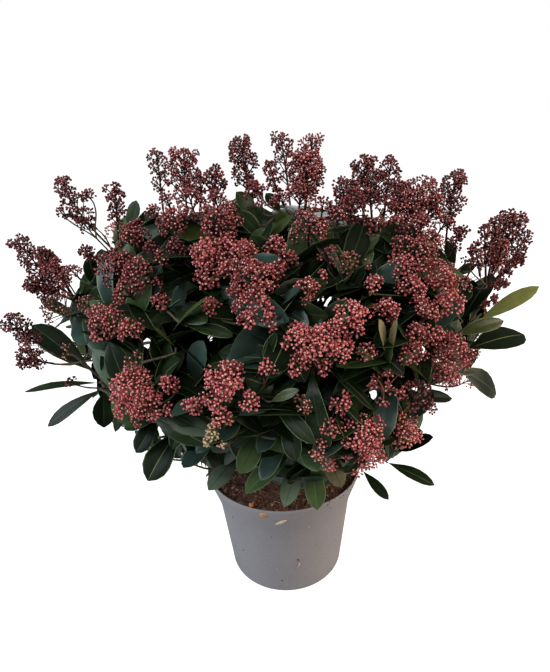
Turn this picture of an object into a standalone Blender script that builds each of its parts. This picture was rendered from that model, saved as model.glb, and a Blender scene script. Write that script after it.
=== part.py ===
"""Potted skimmia: a broad evergreen shrub in flower bud, growing in a round
plastic nursery pot. Metres, +Z up. The origin is the middle of the pot's flat
underside and the front of the plant faces -Y."""

import math
import random

import bmesh
import bpy
import numpy as np
from mathutils import Vector
from mathutils.bvhtree import BVHTree

# ---------------------------------------------------------------- pot
POT_HEIGHT = 0.189
RIM_RADIUS = 0.1200      # outside of the collar at the lip
COLLAR_HEIGHT = 0.0300
COLLAR_DRAFT = 0.0012    # the collar narrows by this towards its lower edge
SHOULDER_RADIUS = 0.1045  # body just under the collar
BASE_RADIUS = 0.0905     # body just above the rounded foot
FOOT_RADIUS = 0.0120     # rounding between the body and the underside
WALL = 0.0026
FLOOR = 0.0032
POT_SIDES = 40

# ---------------------------------------------------------------- soil
GAP = 0.0003             # between pieces that touch
SOIL_LEVEL = 0.1836
SOIL_LUMP = 0.0018
SOIL_FLAT = 0.024        # level ring that the stem stands on

# ---------------------------------------------------------------- stem
STEM_FOOT_RADIUS = 0.0170
STEM_WAIST_RADIUS = 0.0105
STEM_HEAD_RADIUS = 0.0205
STEM_HEIGHT = 0.0560
STEM_LEAN = (0.0040, -0.0030)
ROOTS = 5

# ---------------------------------------------------------------- boughs
BOUGH_FOOT_RADIUS = 0.0041
BOUGH_TIP_RADIUS = 0.0024
BOUGH_STEPS = 4

# ---------------------------------------------------------------- crown
CROWN_CENTRE = Vector((0.0, 0.0, 0.420))
HALF_LEFT = 0.352
HALF_RIGHT = 0.346
HALF_FRONT = 0.290
HALF_BACK = 0.292
HALF_UP = 0.238
HALF_DOWN = 0.214
SQUARENESS = 2.35        # exponent of the crown's rounded outline
SQUARENESS_BELOW = 1.55  # under its widest level the crown draws in more
SPIRE_WIDTH = 11.0       # degrees from a shoot's tip to the edge of its bulge
MASS_GAP = 0.0022        # each mass keeps this far from the plane it shares
# Tips that stand clear of the outline as seen from the front:
# (bearing in the front plane from the right-hand horizontal, reach)
OUTLINE_TIPS = (
    ("right_pale_leaf", 7.0, 0.372),
    ("right_high_head", 23.5, 0.378),
    ("right_shoulder", 42.0, 0.300),
    ("upper_right_spray", 60.0, 0.268),
    ("top_right_head", 80.0, 0.268),
    ("top_middle_head", 98.0, 0.266),
    ("top_left_head", 119.0, 0.300),
    ("upper_left_spray", 141.5, 0.364),
    ("left_high_spray", 157.0, 0.392),
    ("left_head", 176.5, 0.392),
    ("left_low_leaves", 192.5, 0.384),
    ("right_low_leaf", -18.0, 0.344),
    ("right_dark_leaf", -6.0, 0.362),
)
# Leaf tips that hang lowest round the front of the pot:
# (bearing in plan, lift above the horizontal, reach from the crown's centre)
LOW_TIPS = (
    ("low_left_leaf", -137.0, -32.0, 0.270),
    ("front_left_leaf", -117.0, -45.0, 0.252),
    ("front_leaf", -84.0, -50.0, 0.252),
    ("front_right_leaf", -52.0, -42.0, 0.282),
    ("low_right_leaf", -38.0, -33.0, 0.298),
)
LUMPS = 0.0075           # unevenness of the crown's surface
# Tiers of foliage: (name, number, height, distance out as a share of the
# crown's half width, blob radius, bearing of the first in degrees)
TIERS = (
    ("skirt", 6, 0.322, 0.56, 0.136, 20.0),
    ("side", 8, 0.445, 0.76, 0.130, 0.0),
    ("shoulder", 6, 0.555, 0.56, 0.128, 28.0),
    ("top", 2, 0.612, 0.19, 0.130, 8.0),
)
CORE_HEIGHTS = (0.250, 0.330, 0.420)  # middles of the open, leafless inside
CORE_SPREAD = 0.085

rng = random.Random(21)


def clear_scene():
    for obj in list(bpy.data.objects):
        bpy.data.objects.remove(obj, do_unlink=True)


def material(name, colour, roughness, metallic=0.0):
    made = bpy.data.materials.new(name)
    made.use_nodes = True
    made.diffuse_color = (*colour, 1.0)
    shader = made.node_tree.nodes["Principled BSDF"]
    shader.inputs["Base Color"].default_value = (*colour, 1.0)
    shader.inputs["Roughness"].default_value = roughness
    shader.inputs["Metallic"].default_value = metallic
    return made


def add_object(name, data, collection, skin, parent=None):
    obj = bpy.data.objects.new(name, data)
    collection.objects.link(obj)
    data.materials.append(skin)
    obj.parent = parent
    return obj


def mesh_from(bm, name, sharp=None):
    mesh = bpy.data.meshes.new(name)
    bm.to_mesh(mesh)
    bm.free()
    mesh.shade_smooth()
    if sharp is not None:
        mesh.set_sharp_from_angle(angle=math.radians(sharp))
    return mesh


# ---------------------------------------------------------------- pot
def arc(centre_r, centre_z, radius, start, end, steps):
    """Points on an arc in the (radius, height) plane, angles in degrees."""
    for i in range(steps + 1):
        a = math.radians(start + (end - start) * i / steps)
        yield centre_r + radius * math.cos(a), centre_z + radius * math.sin(a)


def pot_profile():
    """Half section of the pot, from the axis on the floor, up the inside,
    over the lip and down the outside to the axis on the underside."""
    lip = WALL / 2
    step_z = POT_HEIGHT - COLLAR_HEIGHT
    foot_z = FOOT_RADIUS
    under = BASE_RADIUS - FOOT_RADIUS
    points = [(0.0, FLOOR)]
    points += arc(under, foot_z, FOOT_RADIUS - WALL, -90 + 12, 0, 3)
    points[1] = (under, FLOOR)
    points += [
        (SHOULDER_RADIUS - WALL, step_z - WALL),
        (RIM_RADIUS - COLLAR_DRAFT - WALL, step_z),
    ]
    points += arc(RIM_RADIUS - lip, POT_HEIGHT - lip, lip, 180, 0, 4)
    points += [
        (RIM_RADIUS - COLLAR_DRAFT, step_z),
        (SHOULDER_RADIUS, step_z),
    ]
    points += arc(under, foot_z, FOOT_RADIUS, 0, -90, 4)
    points.append((0.0, 0.0))
    return points


def build_pot(collection, skin):
    bm = bmesh.new()
    verts = [bm.verts.new((r, 0.0, z)) for r, z in pot_profile()]
    for a, b in zip(verts, verts[1:]):
        bm.edges.new((a, b))
    mesh = mesh_from(bm, "pot")
    pot = add_object("pot", mesh, collection, skin)
    screw = pot.modifiers.new("turn", "SCREW")
    screw.axis = "Z"
    screw.angle = math.tau
    screw.steps = POT_SIDES
    screw.render_steps = POT_SIDES
    screw.use_merge_vertices = True
    screw.merge_threshold = 0.00005
    screw.use_smooth_shade = True
    return pot


# ---------------------------------------------------------------- soil
def soil_top(x, y):
    r = math.hypot(x, y)
    rise = (
        math.sin(61 * x + 1.3) * math.cos(53 * y - 0.4)
        + 0.6 * math.sin(97 * y + 31 * x)
    )
    ease = min(1.0, max(0.0, (r - SOIL_FLAT) / 0.02))
    return SOIL_LEVEL + SOIL_LUMP * rise * ease


def build_soil(collection, skin):
    """Fills the pot: a plug under an uneven top."""
    step_z = POT_HEIGHT - COLLAR_HEIGHT
    rings = [
        (BASE_RADIUS - FOOT_RADIUS - GAP, FLOOR + GAP),
        (BASE_RADIUS - WALL - 2 * GAP, FOOT_RADIUS + 3 * GAP),
        (SHOULDER_RADIUS - WALL - 4 * GAP, step_z - WALL - GAP),
        (RIM_RADIUS - COLLAR_DRAFT - WALL - 4 * GAP, step_z + 2 * GAP),
        (RIM_RADIUS - WALL - 4 * GAP, None),
        (0.094, None),
        (0.068, None),
        (0.044, None),
        (SOIL_FLAT, None),
    ]
    sides = POT_SIDES
    bm = bmesh.new()
    bmesh.ops.create_cone(
        bm, cap_ends=True, cap_tris=True, segments=sides,
        radius1=1.0, radius2=1.0, depth=1.0,
    )
    uprights = [
        e for e in bm.edges
        if abs(e.verts[0].co.z - e.verts[1].co.z) > 0.5
    ]
    bmesh.ops.subdivide_edges(bm, edges=uprights, cuts=len(rings) - 2)
    for v in bm.verts:
        level = round((v.co.z + 0.5) * (len(rings) - 1))
        r, z = rings[level]
        if math.hypot(v.co.x, v.co.y) < 0.5:   # middle of a cap
            v.co = (0.0, 0.0, z if z is not None else SOIL_LEVEL)
            continue
        a = math.atan2(v.co.y, v.co.x)
        x, y = r * math.cos(a), r * math.sin(a)
        if z is None:
            z = soil_top(x, y)
            if level == 4:
                z = min(z, SOIL_LEVEL + 0.0006)
        v.co = (x, y, z)
    return add_object("soil", mesh_from(bm, "soil", 50), collection, skin)


# ---------------------------------------------------------------- stem
def stem_axis(t):
    """Middle of the leaning stem at the share t of its height."""
    ease = t * t * (3 - 2 * t)
    return Vector((
        STEM_LEAN[0] * ease, STEM_LEAN[1] * ease,
        SOIL_LEVEL + GAP + STEM_HEIGHT * t,
    ))


def stem_radius(t, angle):
    flare = math.exp(-t / 0.16)
    swell = 1 / (1 + math.exp(-(t - 0.62) / 0.07))
    r = STEM_WAIST_RADIUS * (1 - 0.10 * t)
    r += (STEM_FOOT_RADIUS - STEM_WAIST_RADIUS) * flare
    r += (STEM_HEAD_RADIUS - STEM_WAIST_RADIUS) * 0.80 * swell
    r *= 1 + 0.16 * flare * math.cos(ROOTS * angle + 0.7)
    if t > 0.80:                                # rounds over at the fork
        r *= math.sqrt(max(0.0, 1 - ((t - 0.80) / 0.235) ** 2))
    return r


def build_stem(collection, skin):
    levels = 12
    bm = bmesh.new()
    bmesh.ops.create_cone(
        bm, cap_ends=True, cap_tris=True, segments=15,
        radius1=1.0, radius2=1.0, depth=1.0,
    )
    uprights = [
        e for e in bm.edges
        if abs(e.verts[0].co.z - e.verts[1].co.z) > 0.5
    ]
    bmesh.ops.subdivide_edges(bm, edges=uprights, cuts=levels - 1)
    for v in bm.verts:
        t = round((v.co.z + 0.5) * levels) / levels
        middle = stem_axis(t)
        if math.hypot(v.co.x, v.co.y) < 0.5:
            v.co = middle
            continue
        a = math.atan2(v.co.y, v.co.x)
        r = stem_radius(t, a)
        v.co = middle + Vector((r * math.cos(a), r * math.sin(a), 0.0))
    return add_object("stem_base", mesh_from(bm, "stem_base", 60), collection, skin)


# ---------------------------------------------------------------- crown
def half_widths(direction):
    return (
        HALF_RIGHT if direction.x > 0 else HALF_LEFT,
        HALF_BACK if direction.y > 0 else HALF_FRONT,
        HALF_UP if direction.z > 0 else HALF_DOWN,
    )


def rounded_reach(direction):
    """Distance from the crown's centre to its rounded outline."""
    power = SQUARENESS if direction.z > 0 else SQUARENESS_BELOW
    wide = half_widths(direction)
    level = math.hypot(direction.x / wide[0], direction.y / wide[1])
    total = level ** power + (abs(direction.z) / wide[2]) ** power
    return total ** (-1 / power)


def crown_spires():
    """Bulges of the outline, each with its direction and its height over the
    rounded outline: the ones seen from the front, and like ones round it."""
    spires = []
    for _, bearing, reach in OUTLINE_TIPS:
        a = math.radians(bearing)
        d = Vector((math.cos(a), 0.0, math.sin(a)))
        spires.append((d, reach - rounded_reach(d)))
    for _, bearing, lift, reach in LOW_TIPS:
        a, e = math.radians(bearing), math.radians(lift)
        d = Vector((
            math.cos(a) * math.cos(e), math.sin(a) * math.cos(e), math.sin(e),
        ))
        spires.append((d, reach - rounded_reach(d)))
    for lift, count, turn in (
        (-38, 7, 25.0), (4, 9, 21.0), (32, 8, 37.0), (62, 5, 12.0),
    ):
        for i in range(count):
            a = math.radians(turn + 360.0 * i / count + rng.uniform(-7, 7))
            if abs(math.cos(a)) > 0.93 or (lift < 0 and math.sin(a) < -0.2):
                continue                        # those are in the tables
            e = math.radians(lift + rng.uniform(-6, 6))
            d = Vector((
                math.cos(a) * math.cos(e), math.sin(a) * math.cos(e),
                math.sin(e),
            ))
            spires.append((d, rng.uniform(0.008, 0.026)))
    return spires


def crown_reach(direction, spires):
    bulge = 0.0
    for d, height in spires:
        apart = math.degrees(direction.angle(d))
        if apart < SPIRE_WIDTH * 1.6:
            bulge = max(
                bulge, height * math.exp(-((apart / SPIRE_WIDTH) ** 2) * 1.4),
                key=abs,
            )
    lumps = (
        math.sin(11.3 * direction.x + 2.1) * math.sin(12.7 * direction.y + 0.6)
        + math.sin(14.1 * direction.z + 9.2 * direction.x)
    )
    return rounded_reach(direction) + bulge + LUMPS * lumps - 0.004


def mass_seeds():
    seeds = []
    for tier, count, height, share, size, first in TIERS:
        for i in range(count):
            bearing = math.radians(
                first + 360.0 * i / count + rng.uniform(-5, 5)
            )
            d = Vector((math.cos(bearing), math.sin(bearing), 0.0))
            wide = half_widths(d)
            reach = 1 / math.hypot(d.x / wide[0], d.y / wide[1])
            middle = d * reach * share
            middle.z = height + rng.uniform(-0.012, 0.012)
            seeds.append((
                "mass_%s_%d" % (tier, i + 1), middle,
                size * rng.uniform(0.94, 1.06),
            ))
    return seeds


def core_points():
    points = [Vector((0.0, 0.0, z)) for z in CORE_HEIGHTS]
    z = CORE_HEIGHTS[-1] - 0.02
    for i in range(6):
        a = math.radians(60 * i + 15)
        points.append(Vector((
            CORE_SPREAD * 1.25 * math.cos(a), CORE_SPREAD * math.sin(a), z,
        )))
    return points


def to_crown_edge(start, direction, spires, furthest):
    """How far a ray from inside the crown runs before it leaves it."""
    low, high = 0.0, furthest
    for _ in range(18):
        mid = (low + high) / 2
        p = start + direction * mid - CROWN_CENTRE
        if p.length <= crown_reach(p.normalized(), spires):
            low = mid
        else:
            high = mid
    return low


def clear_of_pot(point):
    """Foliage over the pot keeps above the lip, and beside it keeps off it."""
    r = math.hypot(point.x, point.y)
    return 0.212 + 0.10 * max(0.0, r - 0.14)


def build_masses(collection, skins):
    seeds = mass_seeds()
    spires = crown_spires()
    cores = core_points()
    masses = []
    for index, (name, middle, size) in enumerate(seeds):
        others = [s[1] for k, s in enumerate(seeds) if k != index] + cores
        planes = []
        for other in others:
            across = other - middle
            planes.append((across.normalized(), across.length / 2 - MASS_GAP))
        waves = [
            (
                Vector((rng.gauss(0, 1), rng.gauss(0, 1), rng.gauss(0, 1))),
                rng.uniform(0, math.tau),
            )
            for _ in range(5)
        ]
        bm = bmesh.new()
        bmesh.ops.create_icosphere(bm, subdivisions=3, radius=1.0)
        for v in bm.verts:
            d = v.co.normalized()
            ripple = sum(
                math.sin(3.1 * d.dot(w) + phase) for w, phase in waves
            ) / len(waves)
            reach = size * (1 + 0.16 * ripple)
            for normal, distance in planes:
                towards = d.dot(normal)
                if towards > 1e-6:
                    reach = min(reach, distance / towards)
            reach = min(reach, to_crown_edge(middle, d, spires, reach * 1.001))
            if d.z < -1e-6:
                for _ in range(6):
                    point = middle + d * reach
                    under = clear_of_pot(point) - point.z
                    if under <= 0:
                        break
                    reach = max(0.01, reach - under / -d.z)
            v.co = middle + d * reach
        tree = BVHTree.FromBMesh(bm)
        tier = name.split("_")[1]
        mesh = mesh_from(bm, name)
        obj = add_object(name, mesh, collection, skins[tier])
        masses.append((obj, middle, tree))
    return masses


# ---------------------------------------------------------------- boughs
def spread_starts(targets, hub, apart):
    """Unit directions from the hub towards the targets, pushed apart until
    the feet of the boughs stand clear of each other."""
    starts = [(t - hub).normalized() for t in targets]
    for _ in range(400):
        moved = False
        for i in range(len(starts)):
            for j in range(i + 1, len(starts)):
                angle = starts[i].angle(starts[j])
                if angle < apart:
                    moved = True
                    push = (starts[i] - starts[j]).normalized() * 0.01
                    starts[i] = (starts[i] + push).normalized()
                    starts[j] = (starts[j] - push).normalized()
        for i, d in enumerate(starts):
            if d.z < -0.05:
                starts[i] = Vector((d.x, d.y, -0.05)).normalized()
        if not moved:
            break
    return starts


def bough_path(start, leave, end, arrive, t):
    """A limb's middle line: leaves the stem one way and arrives another."""
    span = (end - start).length
    a = start + leave * span * 0.36
    b = end - arrive * span * 0.30
    s = 1 - t
    return (
        start * s ** 3 + a * 3 * s * s * t + b * 3 * s * t * t + end * t ** 3
    )


def clearance(centre, along, radius, trees):
    """Least distance from a limb's round end to any mass."""
    side = along.orthogonal().normalized()
    other = along.cross(side)
    least = 1.0
    for k in range(9):
        p = centre
        if k:
            a = math.tau * k / 8
            p = centre + (side * math.cos(a) + other * math.sin(a)) * radius
        for tree in trees:
            least = min(least, tree.find_nearest(p)[3])
    return least


def build_boughs(collection, skin, masses):
    hub = stem_axis(0.80)
    hub_radius = STEM_HEAD_RADIUS + 0.0022
    targets = [middle for _, middle, _ in masses]
    starts = spread_starts(targets, hub, math.radians(22.5))
    trees = [tree for _, _, tree in masses]
    for (mass, middle, _), leave in zip(masses, starts):
        start = hub + leave * hub_radius
        arrive = (middle - hub).normalized()
        arrive = (arrive + Vector((0, 0, 0.25))).normalized()
        fine = 160
        path = [
            bough_path(start, leave, middle, arrive, k / fine)
            for k in range(fine + 1)
        ]
        last = fine
        for k in range(6, fine):
            along = (path[k + 1] - path[k]).normalized()
            r = BOUGH_FOOT_RADIUS + (BOUGH_TIP_RADIUS - BOUGH_FOOT_RADIUS) * k / fine
            if clearance(path[k], along, r, trees) < 0.0009:
                last = k - 1
                break
        curve = bpy.data.curves.new(mass.name.replace("mass", "bough"), "CURVE")
        curve.dimensions = "3D"
        curve.bevel_depth = 1.0
        curve.bevel_resolution = 2
        curve.use_fill_caps = True
        spline = curve.splines.new("POLY")
        spline.points.add(BOUGH_STEPS)
        for step, point in enumerate(spline.points):
            k = last * step / BOUGH_STEPS
            low = int(k)
            p = path[low].lerp(path[min(low + 1, fine)], k - low)
            share = step / BOUGH_STEPS
            point.co = (*p, 1.0)
            point.radius = (
                BOUGH_FOOT_RADIUS + (BOUGH_TIP_RADIUS - BOUGH_FOOT_RADIUS) * share
            )
        spline.use_smooth = True
        add_object(curve.name, curve, collection, skin)


def main():
    clear_scene()
    collection = bpy.data.collections.new("potted_skimmia")
    bpy.context.scene.collection.children.link(collection)
    pot_skin = material("grey_plastic", (0.16, 0.155, 0.175), 0.55)
    soil_skin = material("fibrous_soil", (0.055, 0.030, 0.026), 0.95)
    bark = material("brown_bark", (0.105, 0.075, 0.050), 0.80)
    leaf = {
        "skirt": material("leaf_deep_green", (0.020, 0.040, 0.016), 0.45),
        "side": material("leaf_dark_green", (0.030, 0.052, 0.020), 0.45),
        "shoulder": material("bud_dark_red", (0.170, 0.035, 0.040), 0.60),
        "top": material("bud_pink_red", (0.260, 0.060, 0.065), 0.60),
    }
    build_pot(collection, pot_skin)
    build_soil(collection, soil_skin)
    build_stem(collection, bark)
    masses = build_masses(collection, leaf)
    build_boughs(collection, bark, masses)


main()
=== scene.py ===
"""Looks of the potted skimmia: a broad evergreen shrub in flower bud in a grey
nursery pot. Every limb, leaf and bud grows from the solid frame's stem and
boughs by a seeded rule; the shoots that show in front are placed by where they
stand in the front view."""

import math

import bpy
import numpy as np
from mathutils import Matrix, Vector, noise


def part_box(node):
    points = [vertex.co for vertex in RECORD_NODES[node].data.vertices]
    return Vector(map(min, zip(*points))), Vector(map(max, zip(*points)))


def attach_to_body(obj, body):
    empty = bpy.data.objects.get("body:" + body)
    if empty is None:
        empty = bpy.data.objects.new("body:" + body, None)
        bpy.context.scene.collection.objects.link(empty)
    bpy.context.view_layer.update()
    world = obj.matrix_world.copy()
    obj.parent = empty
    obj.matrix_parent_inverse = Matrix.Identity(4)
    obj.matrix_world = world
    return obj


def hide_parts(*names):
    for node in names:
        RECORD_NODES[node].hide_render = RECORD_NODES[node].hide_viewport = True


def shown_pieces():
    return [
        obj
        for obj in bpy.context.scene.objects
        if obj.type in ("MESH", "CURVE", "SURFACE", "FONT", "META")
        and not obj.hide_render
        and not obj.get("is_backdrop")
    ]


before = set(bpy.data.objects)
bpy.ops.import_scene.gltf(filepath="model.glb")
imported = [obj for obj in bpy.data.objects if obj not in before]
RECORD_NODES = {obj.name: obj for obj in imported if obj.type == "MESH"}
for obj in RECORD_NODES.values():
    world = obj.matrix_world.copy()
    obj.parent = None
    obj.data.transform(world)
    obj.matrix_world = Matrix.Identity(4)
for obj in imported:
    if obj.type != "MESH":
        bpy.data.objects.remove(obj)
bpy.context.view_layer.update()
rng = np.random.default_rng(530)

# ------------------------------------------------------------------ the view
VIEW_W, VIEW_H = 550, 672
FOCAL = 600.0            # in the same units as the view's width
LOOK_DOWN = 24.3
AWAY = 0.866
ROLL = -2.4
LOOK_AT = (-0.005, 0.0, 0.408)


def view_axes():
    el, roll = math.radians(LOOK_DOWN), math.radians(ROLL)
    back = np.array([0.0, -math.cos(el), math.sin(el)])
    eye = np.array(LOOK_AT) + back * AWAY
    ahead = -back
    right = np.array([1.0, 0.0, 0.0])
    up = np.cross(right, ahead)
    right, up = (
        right * math.cos(roll) + up * math.sin(roll),
        -right * math.sin(roll) + up * math.cos(roll),
    )
    return eye, ahead, right, up


EYE, AHEAD, RIGHT, UP = view_axes()


def ray(u, v):
    return AHEAD + RIGHT * (u - VIEW_W / 2) / FOCAL - UP * (v - VIEW_H / 2) / FOCAL


def at_depth(u, v, y):
    """The point of the upright plane at that y which shows at u, v."""
    d = ray(u, v)
    return EYE + d * (y - EYE[1]) / d[1]


def shows_at(points):
    d = np.asarray(points, float) - EYE
    z = d @ AHEAD
    return (
        VIEW_W / 2 + FOCAL * (d @ RIGHT) / z,
        VIEW_H / 2 - FOCAL * (d @ UP) / z,
        z,
    )


# ------------------------------------------------------------------ the crown
CENTRE = np.array([0.0, 0.0, 0.420])
HALF_LEFT, HALF_RIGHT = 0.352, 0.346
HALF_FRONT, HALF_BACK = 0.290, 0.292
HALF_UP, HALF_DOWN = 0.238, 0.214
FOCUS = np.array([0.0, 0.0, 0.235])   # the shoots fan out from about here


def crown_level(points):
    """1 on the crown's rounded outline, less inside it."""
    d = np.asarray(points, float) - CENTRE
    wide = np.where(d[..., 0] > 0, HALF_RIGHT, HALF_LEFT)
    deep = np.where(d[..., 1] > 0, HALF_BACK, HALF_FRONT)
    tall = np.where(d[..., 2] > 0, HALF_UP, HALF_DOWN)
    power = np.where(d[..., 2] > 0, 2.35, 1.55)
    level = np.hypot(d[..., 0] / wide, d[..., 1] / deep)
    return (level**power + (np.abs(d[..., 2]) / tall) ** power) ** (1 / power)


def on_crown(u, v, level):
    """Where the view's ray first comes that far into the crown, or else where
    it passes nearest to it."""
    t = np.linspace(0.30, 1.40, 1101)
    p = EYE + ray(u, v) * t[:, None]
    values = crown_level(p)
    inside = np.nonzero(values <= level)[0]
    k = inside[0] if len(inside) else int(np.argmin(values))
    return p[k]


def unit(v):
    v = np.asarray(v, float)
    return v / max(1e-9, float(np.linalg.norm(v)))


def across(d):
    """Two directions square to d."""
    d = unit(d)
    side = np.cross(d, [0.0, 0.0, 1.0])
    if np.linalg.norm(side) < 0.05:
        side = np.cross(d, [0.0, 1.0, 0.0])
    side = unit(side)
    return side, np.cross(side, d)


# ------------------------------------------------------------------ materials
def nodes_of(name):
    m = bpy.data.materials.new(name)
    m.use_nodes = True
    tree = m.node_tree
    return m, tree, tree.nodes["Principled BSDF"]


def coords(tree):
    return tree.nodes.new("ShaderNodeTexCoord").outputs["Object"]


def noise_node(tree, where, scale, detail=4.0, rough=0.55):
    n = tree.nodes.new("ShaderNodeTexNoise")
    n.inputs["Scale"].default_value = scale
    n.inputs["Detail"].default_value = detail
    n.inputs["Roughness"].default_value = rough
    tree.links.new(where, n.inputs["Vector"])
    return n.outputs["Fac"]


def ramp(tree, fac, stops):
    r = tree.nodes.new("ShaderNodeValToRGB")
    els = r.color_ramp.elements
    while len(els) < len(stops):
        els.new(0.5)
    for e, (pos, col) in zip(els, stops):
        e.position = pos
        e.color = (*col, 1.0)
    tree.links.new(fac, r.inputs["Fac"])
    return r.outputs["Color"]


def bump(tree, shader, height, strength, distance):
    b = tree.nodes.new("ShaderNodeBump")
    b.inputs["Strength"].default_value = strength
    b.inputs["Distance"].default_value = distance
    tree.links.new(height, b.inputs["Height"])
    tree.links.new(b.outputs["Normal"], shader.inputs["Normal"])


def scaled(c, k):
    return tuple(min(1.0, max(0.0, x * k)) for x in c)


def leaf_material(name, colour, roughness=0.34, vary=0.30, bumps=0.25, shine=0.22):
    """A leathery leaf: colour drifts a little over it, and its skin is
    slightly quilted between fine veins."""
    m, tree, s = nodes_of(name)
    where = coords(tree)
    fac = noise_node(tree, where, 42.0, 3.0)
    tree.links.new(
        ramp(tree, fac, (
            (0.30, scaled(colour, 1 - vary)),
            (0.52, colour),
            (0.74, scaled(colour, 1 + vary)),
        )),
        s.inputs["Base Color"],
    )
    s.inputs["Roughness"].default_value = roughness
    s.inputs["Specular IOR Level"].default_value = shine
    bump(tree, s, noise_node(tree, where, 190.0, 2.0), bumps, 0.0006)
    return m


def bud_material(name, colour, roughness=0.52, vary=0.22):
    m, tree, s = nodes_of(name)
    where = coords(tree)
    fac = noise_node(tree, where, 260.0, 2.0)
    tree.links.new(
        ramp(tree, fac, (
            (0.30, scaled(colour, 1 - vary)),
            (0.70, scaled(colour, 1 + vary)),
        )),
        s.inputs["Base Color"],
    )
    s.inputs["Roughness"].default_value = roughness
    s.inputs["Specular IOR Level"].default_value = 0.25
    return m


def bark_material(name, dark, light, scale=90.0):
    m, tree, s = nodes_of(name)
    where = coords(tree)
    wide = noise_node(tree, where, scale, 6.0, 0.7)
    tree.links.new(ramp(tree, wide, ((0.32, dark), (0.68, light))), s.inputs["Base Color"])
    s.inputs["Roughness"].default_value = 0.82
    bump(tree, s, noise_node(tree, where, scale * 5, 4.0, 0.7), 0.6, 0.0006)
    return m


# Buds, by how the light and their age leave them: body colours, then tips. The bright body is the red painted lit; the
# dark and dusk bodies, the dark tip and the dark stalk are the same red painted in shade.
BODY = [
    bud_material("bud_bright_painted_light", (0.665, 0.136, 0.146)),
    bud_material("bud_mid", (0.325, 0.055, 0.061)),
    bud_material("bud_dark_painted_shade", (0.118, 0.027, 0.029)),
    bud_material("bud_brown", (0.160, 0.060, 0.040)),
    bud_material("bud_orange", (0.470, 0.128, 0.090)),
    bud_material("bud_pale", (0.460, 0.300, 0.160)),
    bud_material("bud_dusk_painted_shade", (0.225, 0.041, 0.044)),
]
TIPS = [
    bud_material("tip_pink", (0.800, 0.370, 0.340), 0.50, 0.12),
    bud_material("tip_cream", (0.860, 0.580, 0.450), 0.50, 0.12),
    bud_material("tip_dull", (0.370, 0.122, 0.112), 0.50, 0.12),
    bud_material("tip_green", (0.640, 0.640, 0.380), 0.50, 0.12),
    bud_material("tip_dark_painted_shade", (0.250, 0.080, 0.072), 0.50, 0.12),
]
STALKS = [
    bud_material("stalk_red", (0.300, 0.088, 0.076), 0.6),
    bud_material("stalk_olive", (0.110, 0.088, 0.040), 0.6),
    bud_material("stalk_dark_painted_shade", (0.048, 0.022, 0.018), 0.6),
    bud_material("stalk_pale", (0.240, 0.180, 0.090), 0.6),
]
# Leaf blades: deep, dark, olive, yellow and tan are the leaves' own colours. Mid, grey and blue are lighter greens,
# partly the leaves' own and partly painted light and a painted bluish sheen on lit leaves.
BLADES = [
    leaf_material("blade_deep", (0.0085, 0.0160, 0.0062), 0.34, shine=0.11),
    leaf_material("blade_dark", (0.0145, 0.0280, 0.0098), 0.32, shine=0.15),
    leaf_material("blade_mid_painted_light", (0.0630, 0.1070, 0.0415), 0.32),
    leaf_material("blade_blue_painted_sheen", (0.0320, 0.0600, 0.0490), 0.28),
    leaf_material("blade_olive", (0.0520, 0.0680, 0.0190), 0.32),
    leaf_material("blade_yellow", (0.1950, 0.2150, 0.0560), 0.40),
    leaf_material("blade_tan", (0.2300, 0.1900, 0.1000), 0.46),
    leaf_material("blade_grey_painted_sheen", (0.1020, 0.1420, 0.0950), 0.36),
]
MARGINS = [
    leaf_material("margin_dark", (0.0600, 0.0900, 0.0380), 0.45, 0.12, 0.0),
    leaf_material("margin_pale", (0.2000, 0.2700, 0.1150), 0.45, 0.12, 0.0),
]
RIBS = [
    leaf_material("rib_dark", (0.0430, 0.0660, 0.0260), 0.45, 0.12, 0.0),
    leaf_material("rib_pale", (0.1500, 0.1800, 0.0750), 0.45, 0.12, 0.0),
    leaf_material("leaf_stalk", (0.1000, 0.0720, 0.0340), 0.55, 0.15, 0.0),
]
BARK_OLD = bark_material("bark_old", (0.045, 0.033, 0.024), (0.150, 0.118, 0.085))
BARK_YOUNG = bark_material("bark_young", (0.050, 0.044, 0.022), (0.125, 0.098, 0.052), 130.0)


# ------------------------------------------------------------------ mesh tools
def make_object(name, verts, faces, mats, index=None, smooth=True):
    """faces is an (n, 3) or (n, 4) array of vertex numbers."""
    verts = np.ascontiguousarray(verts, np.float32)
    faces = np.ascontiguousarray(faces, np.int32)
    mesh = bpy.data.meshes.new(name)
    n, k = faces.shape
    mesh.vertices.add(len(verts))
    mesh.vertices.foreach_set("co", verts.ravel())
    mesh.loops.add(n * k)
    mesh.loops.foreach_set("vertex_index", faces.ravel())
    mesh.polygons.add(n)
    mesh.polygons.foreach_set("loop_start", np.arange(0, n * k, k, dtype=np.int32))
    mesh.polygons.foreach_set("loop_total", np.full(n, k, np.int32))
    for m in mats:
        mesh.materials.append(m)
    if index is not None:
        mesh.polygons.foreach_set(
            "material_index", np.ascontiguousarray(index, np.int32)
        )
    mesh.polygons.foreach_set("use_smooth", np.full(n, smooth, bool))
    mesh.update(calc_edges=True)
    mesh.validate(clean_customdata=False)
    obj = bpy.data.objects.new(name, mesh)
    bpy.context.scene.collection.objects.link(obj)
    return obj


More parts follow.
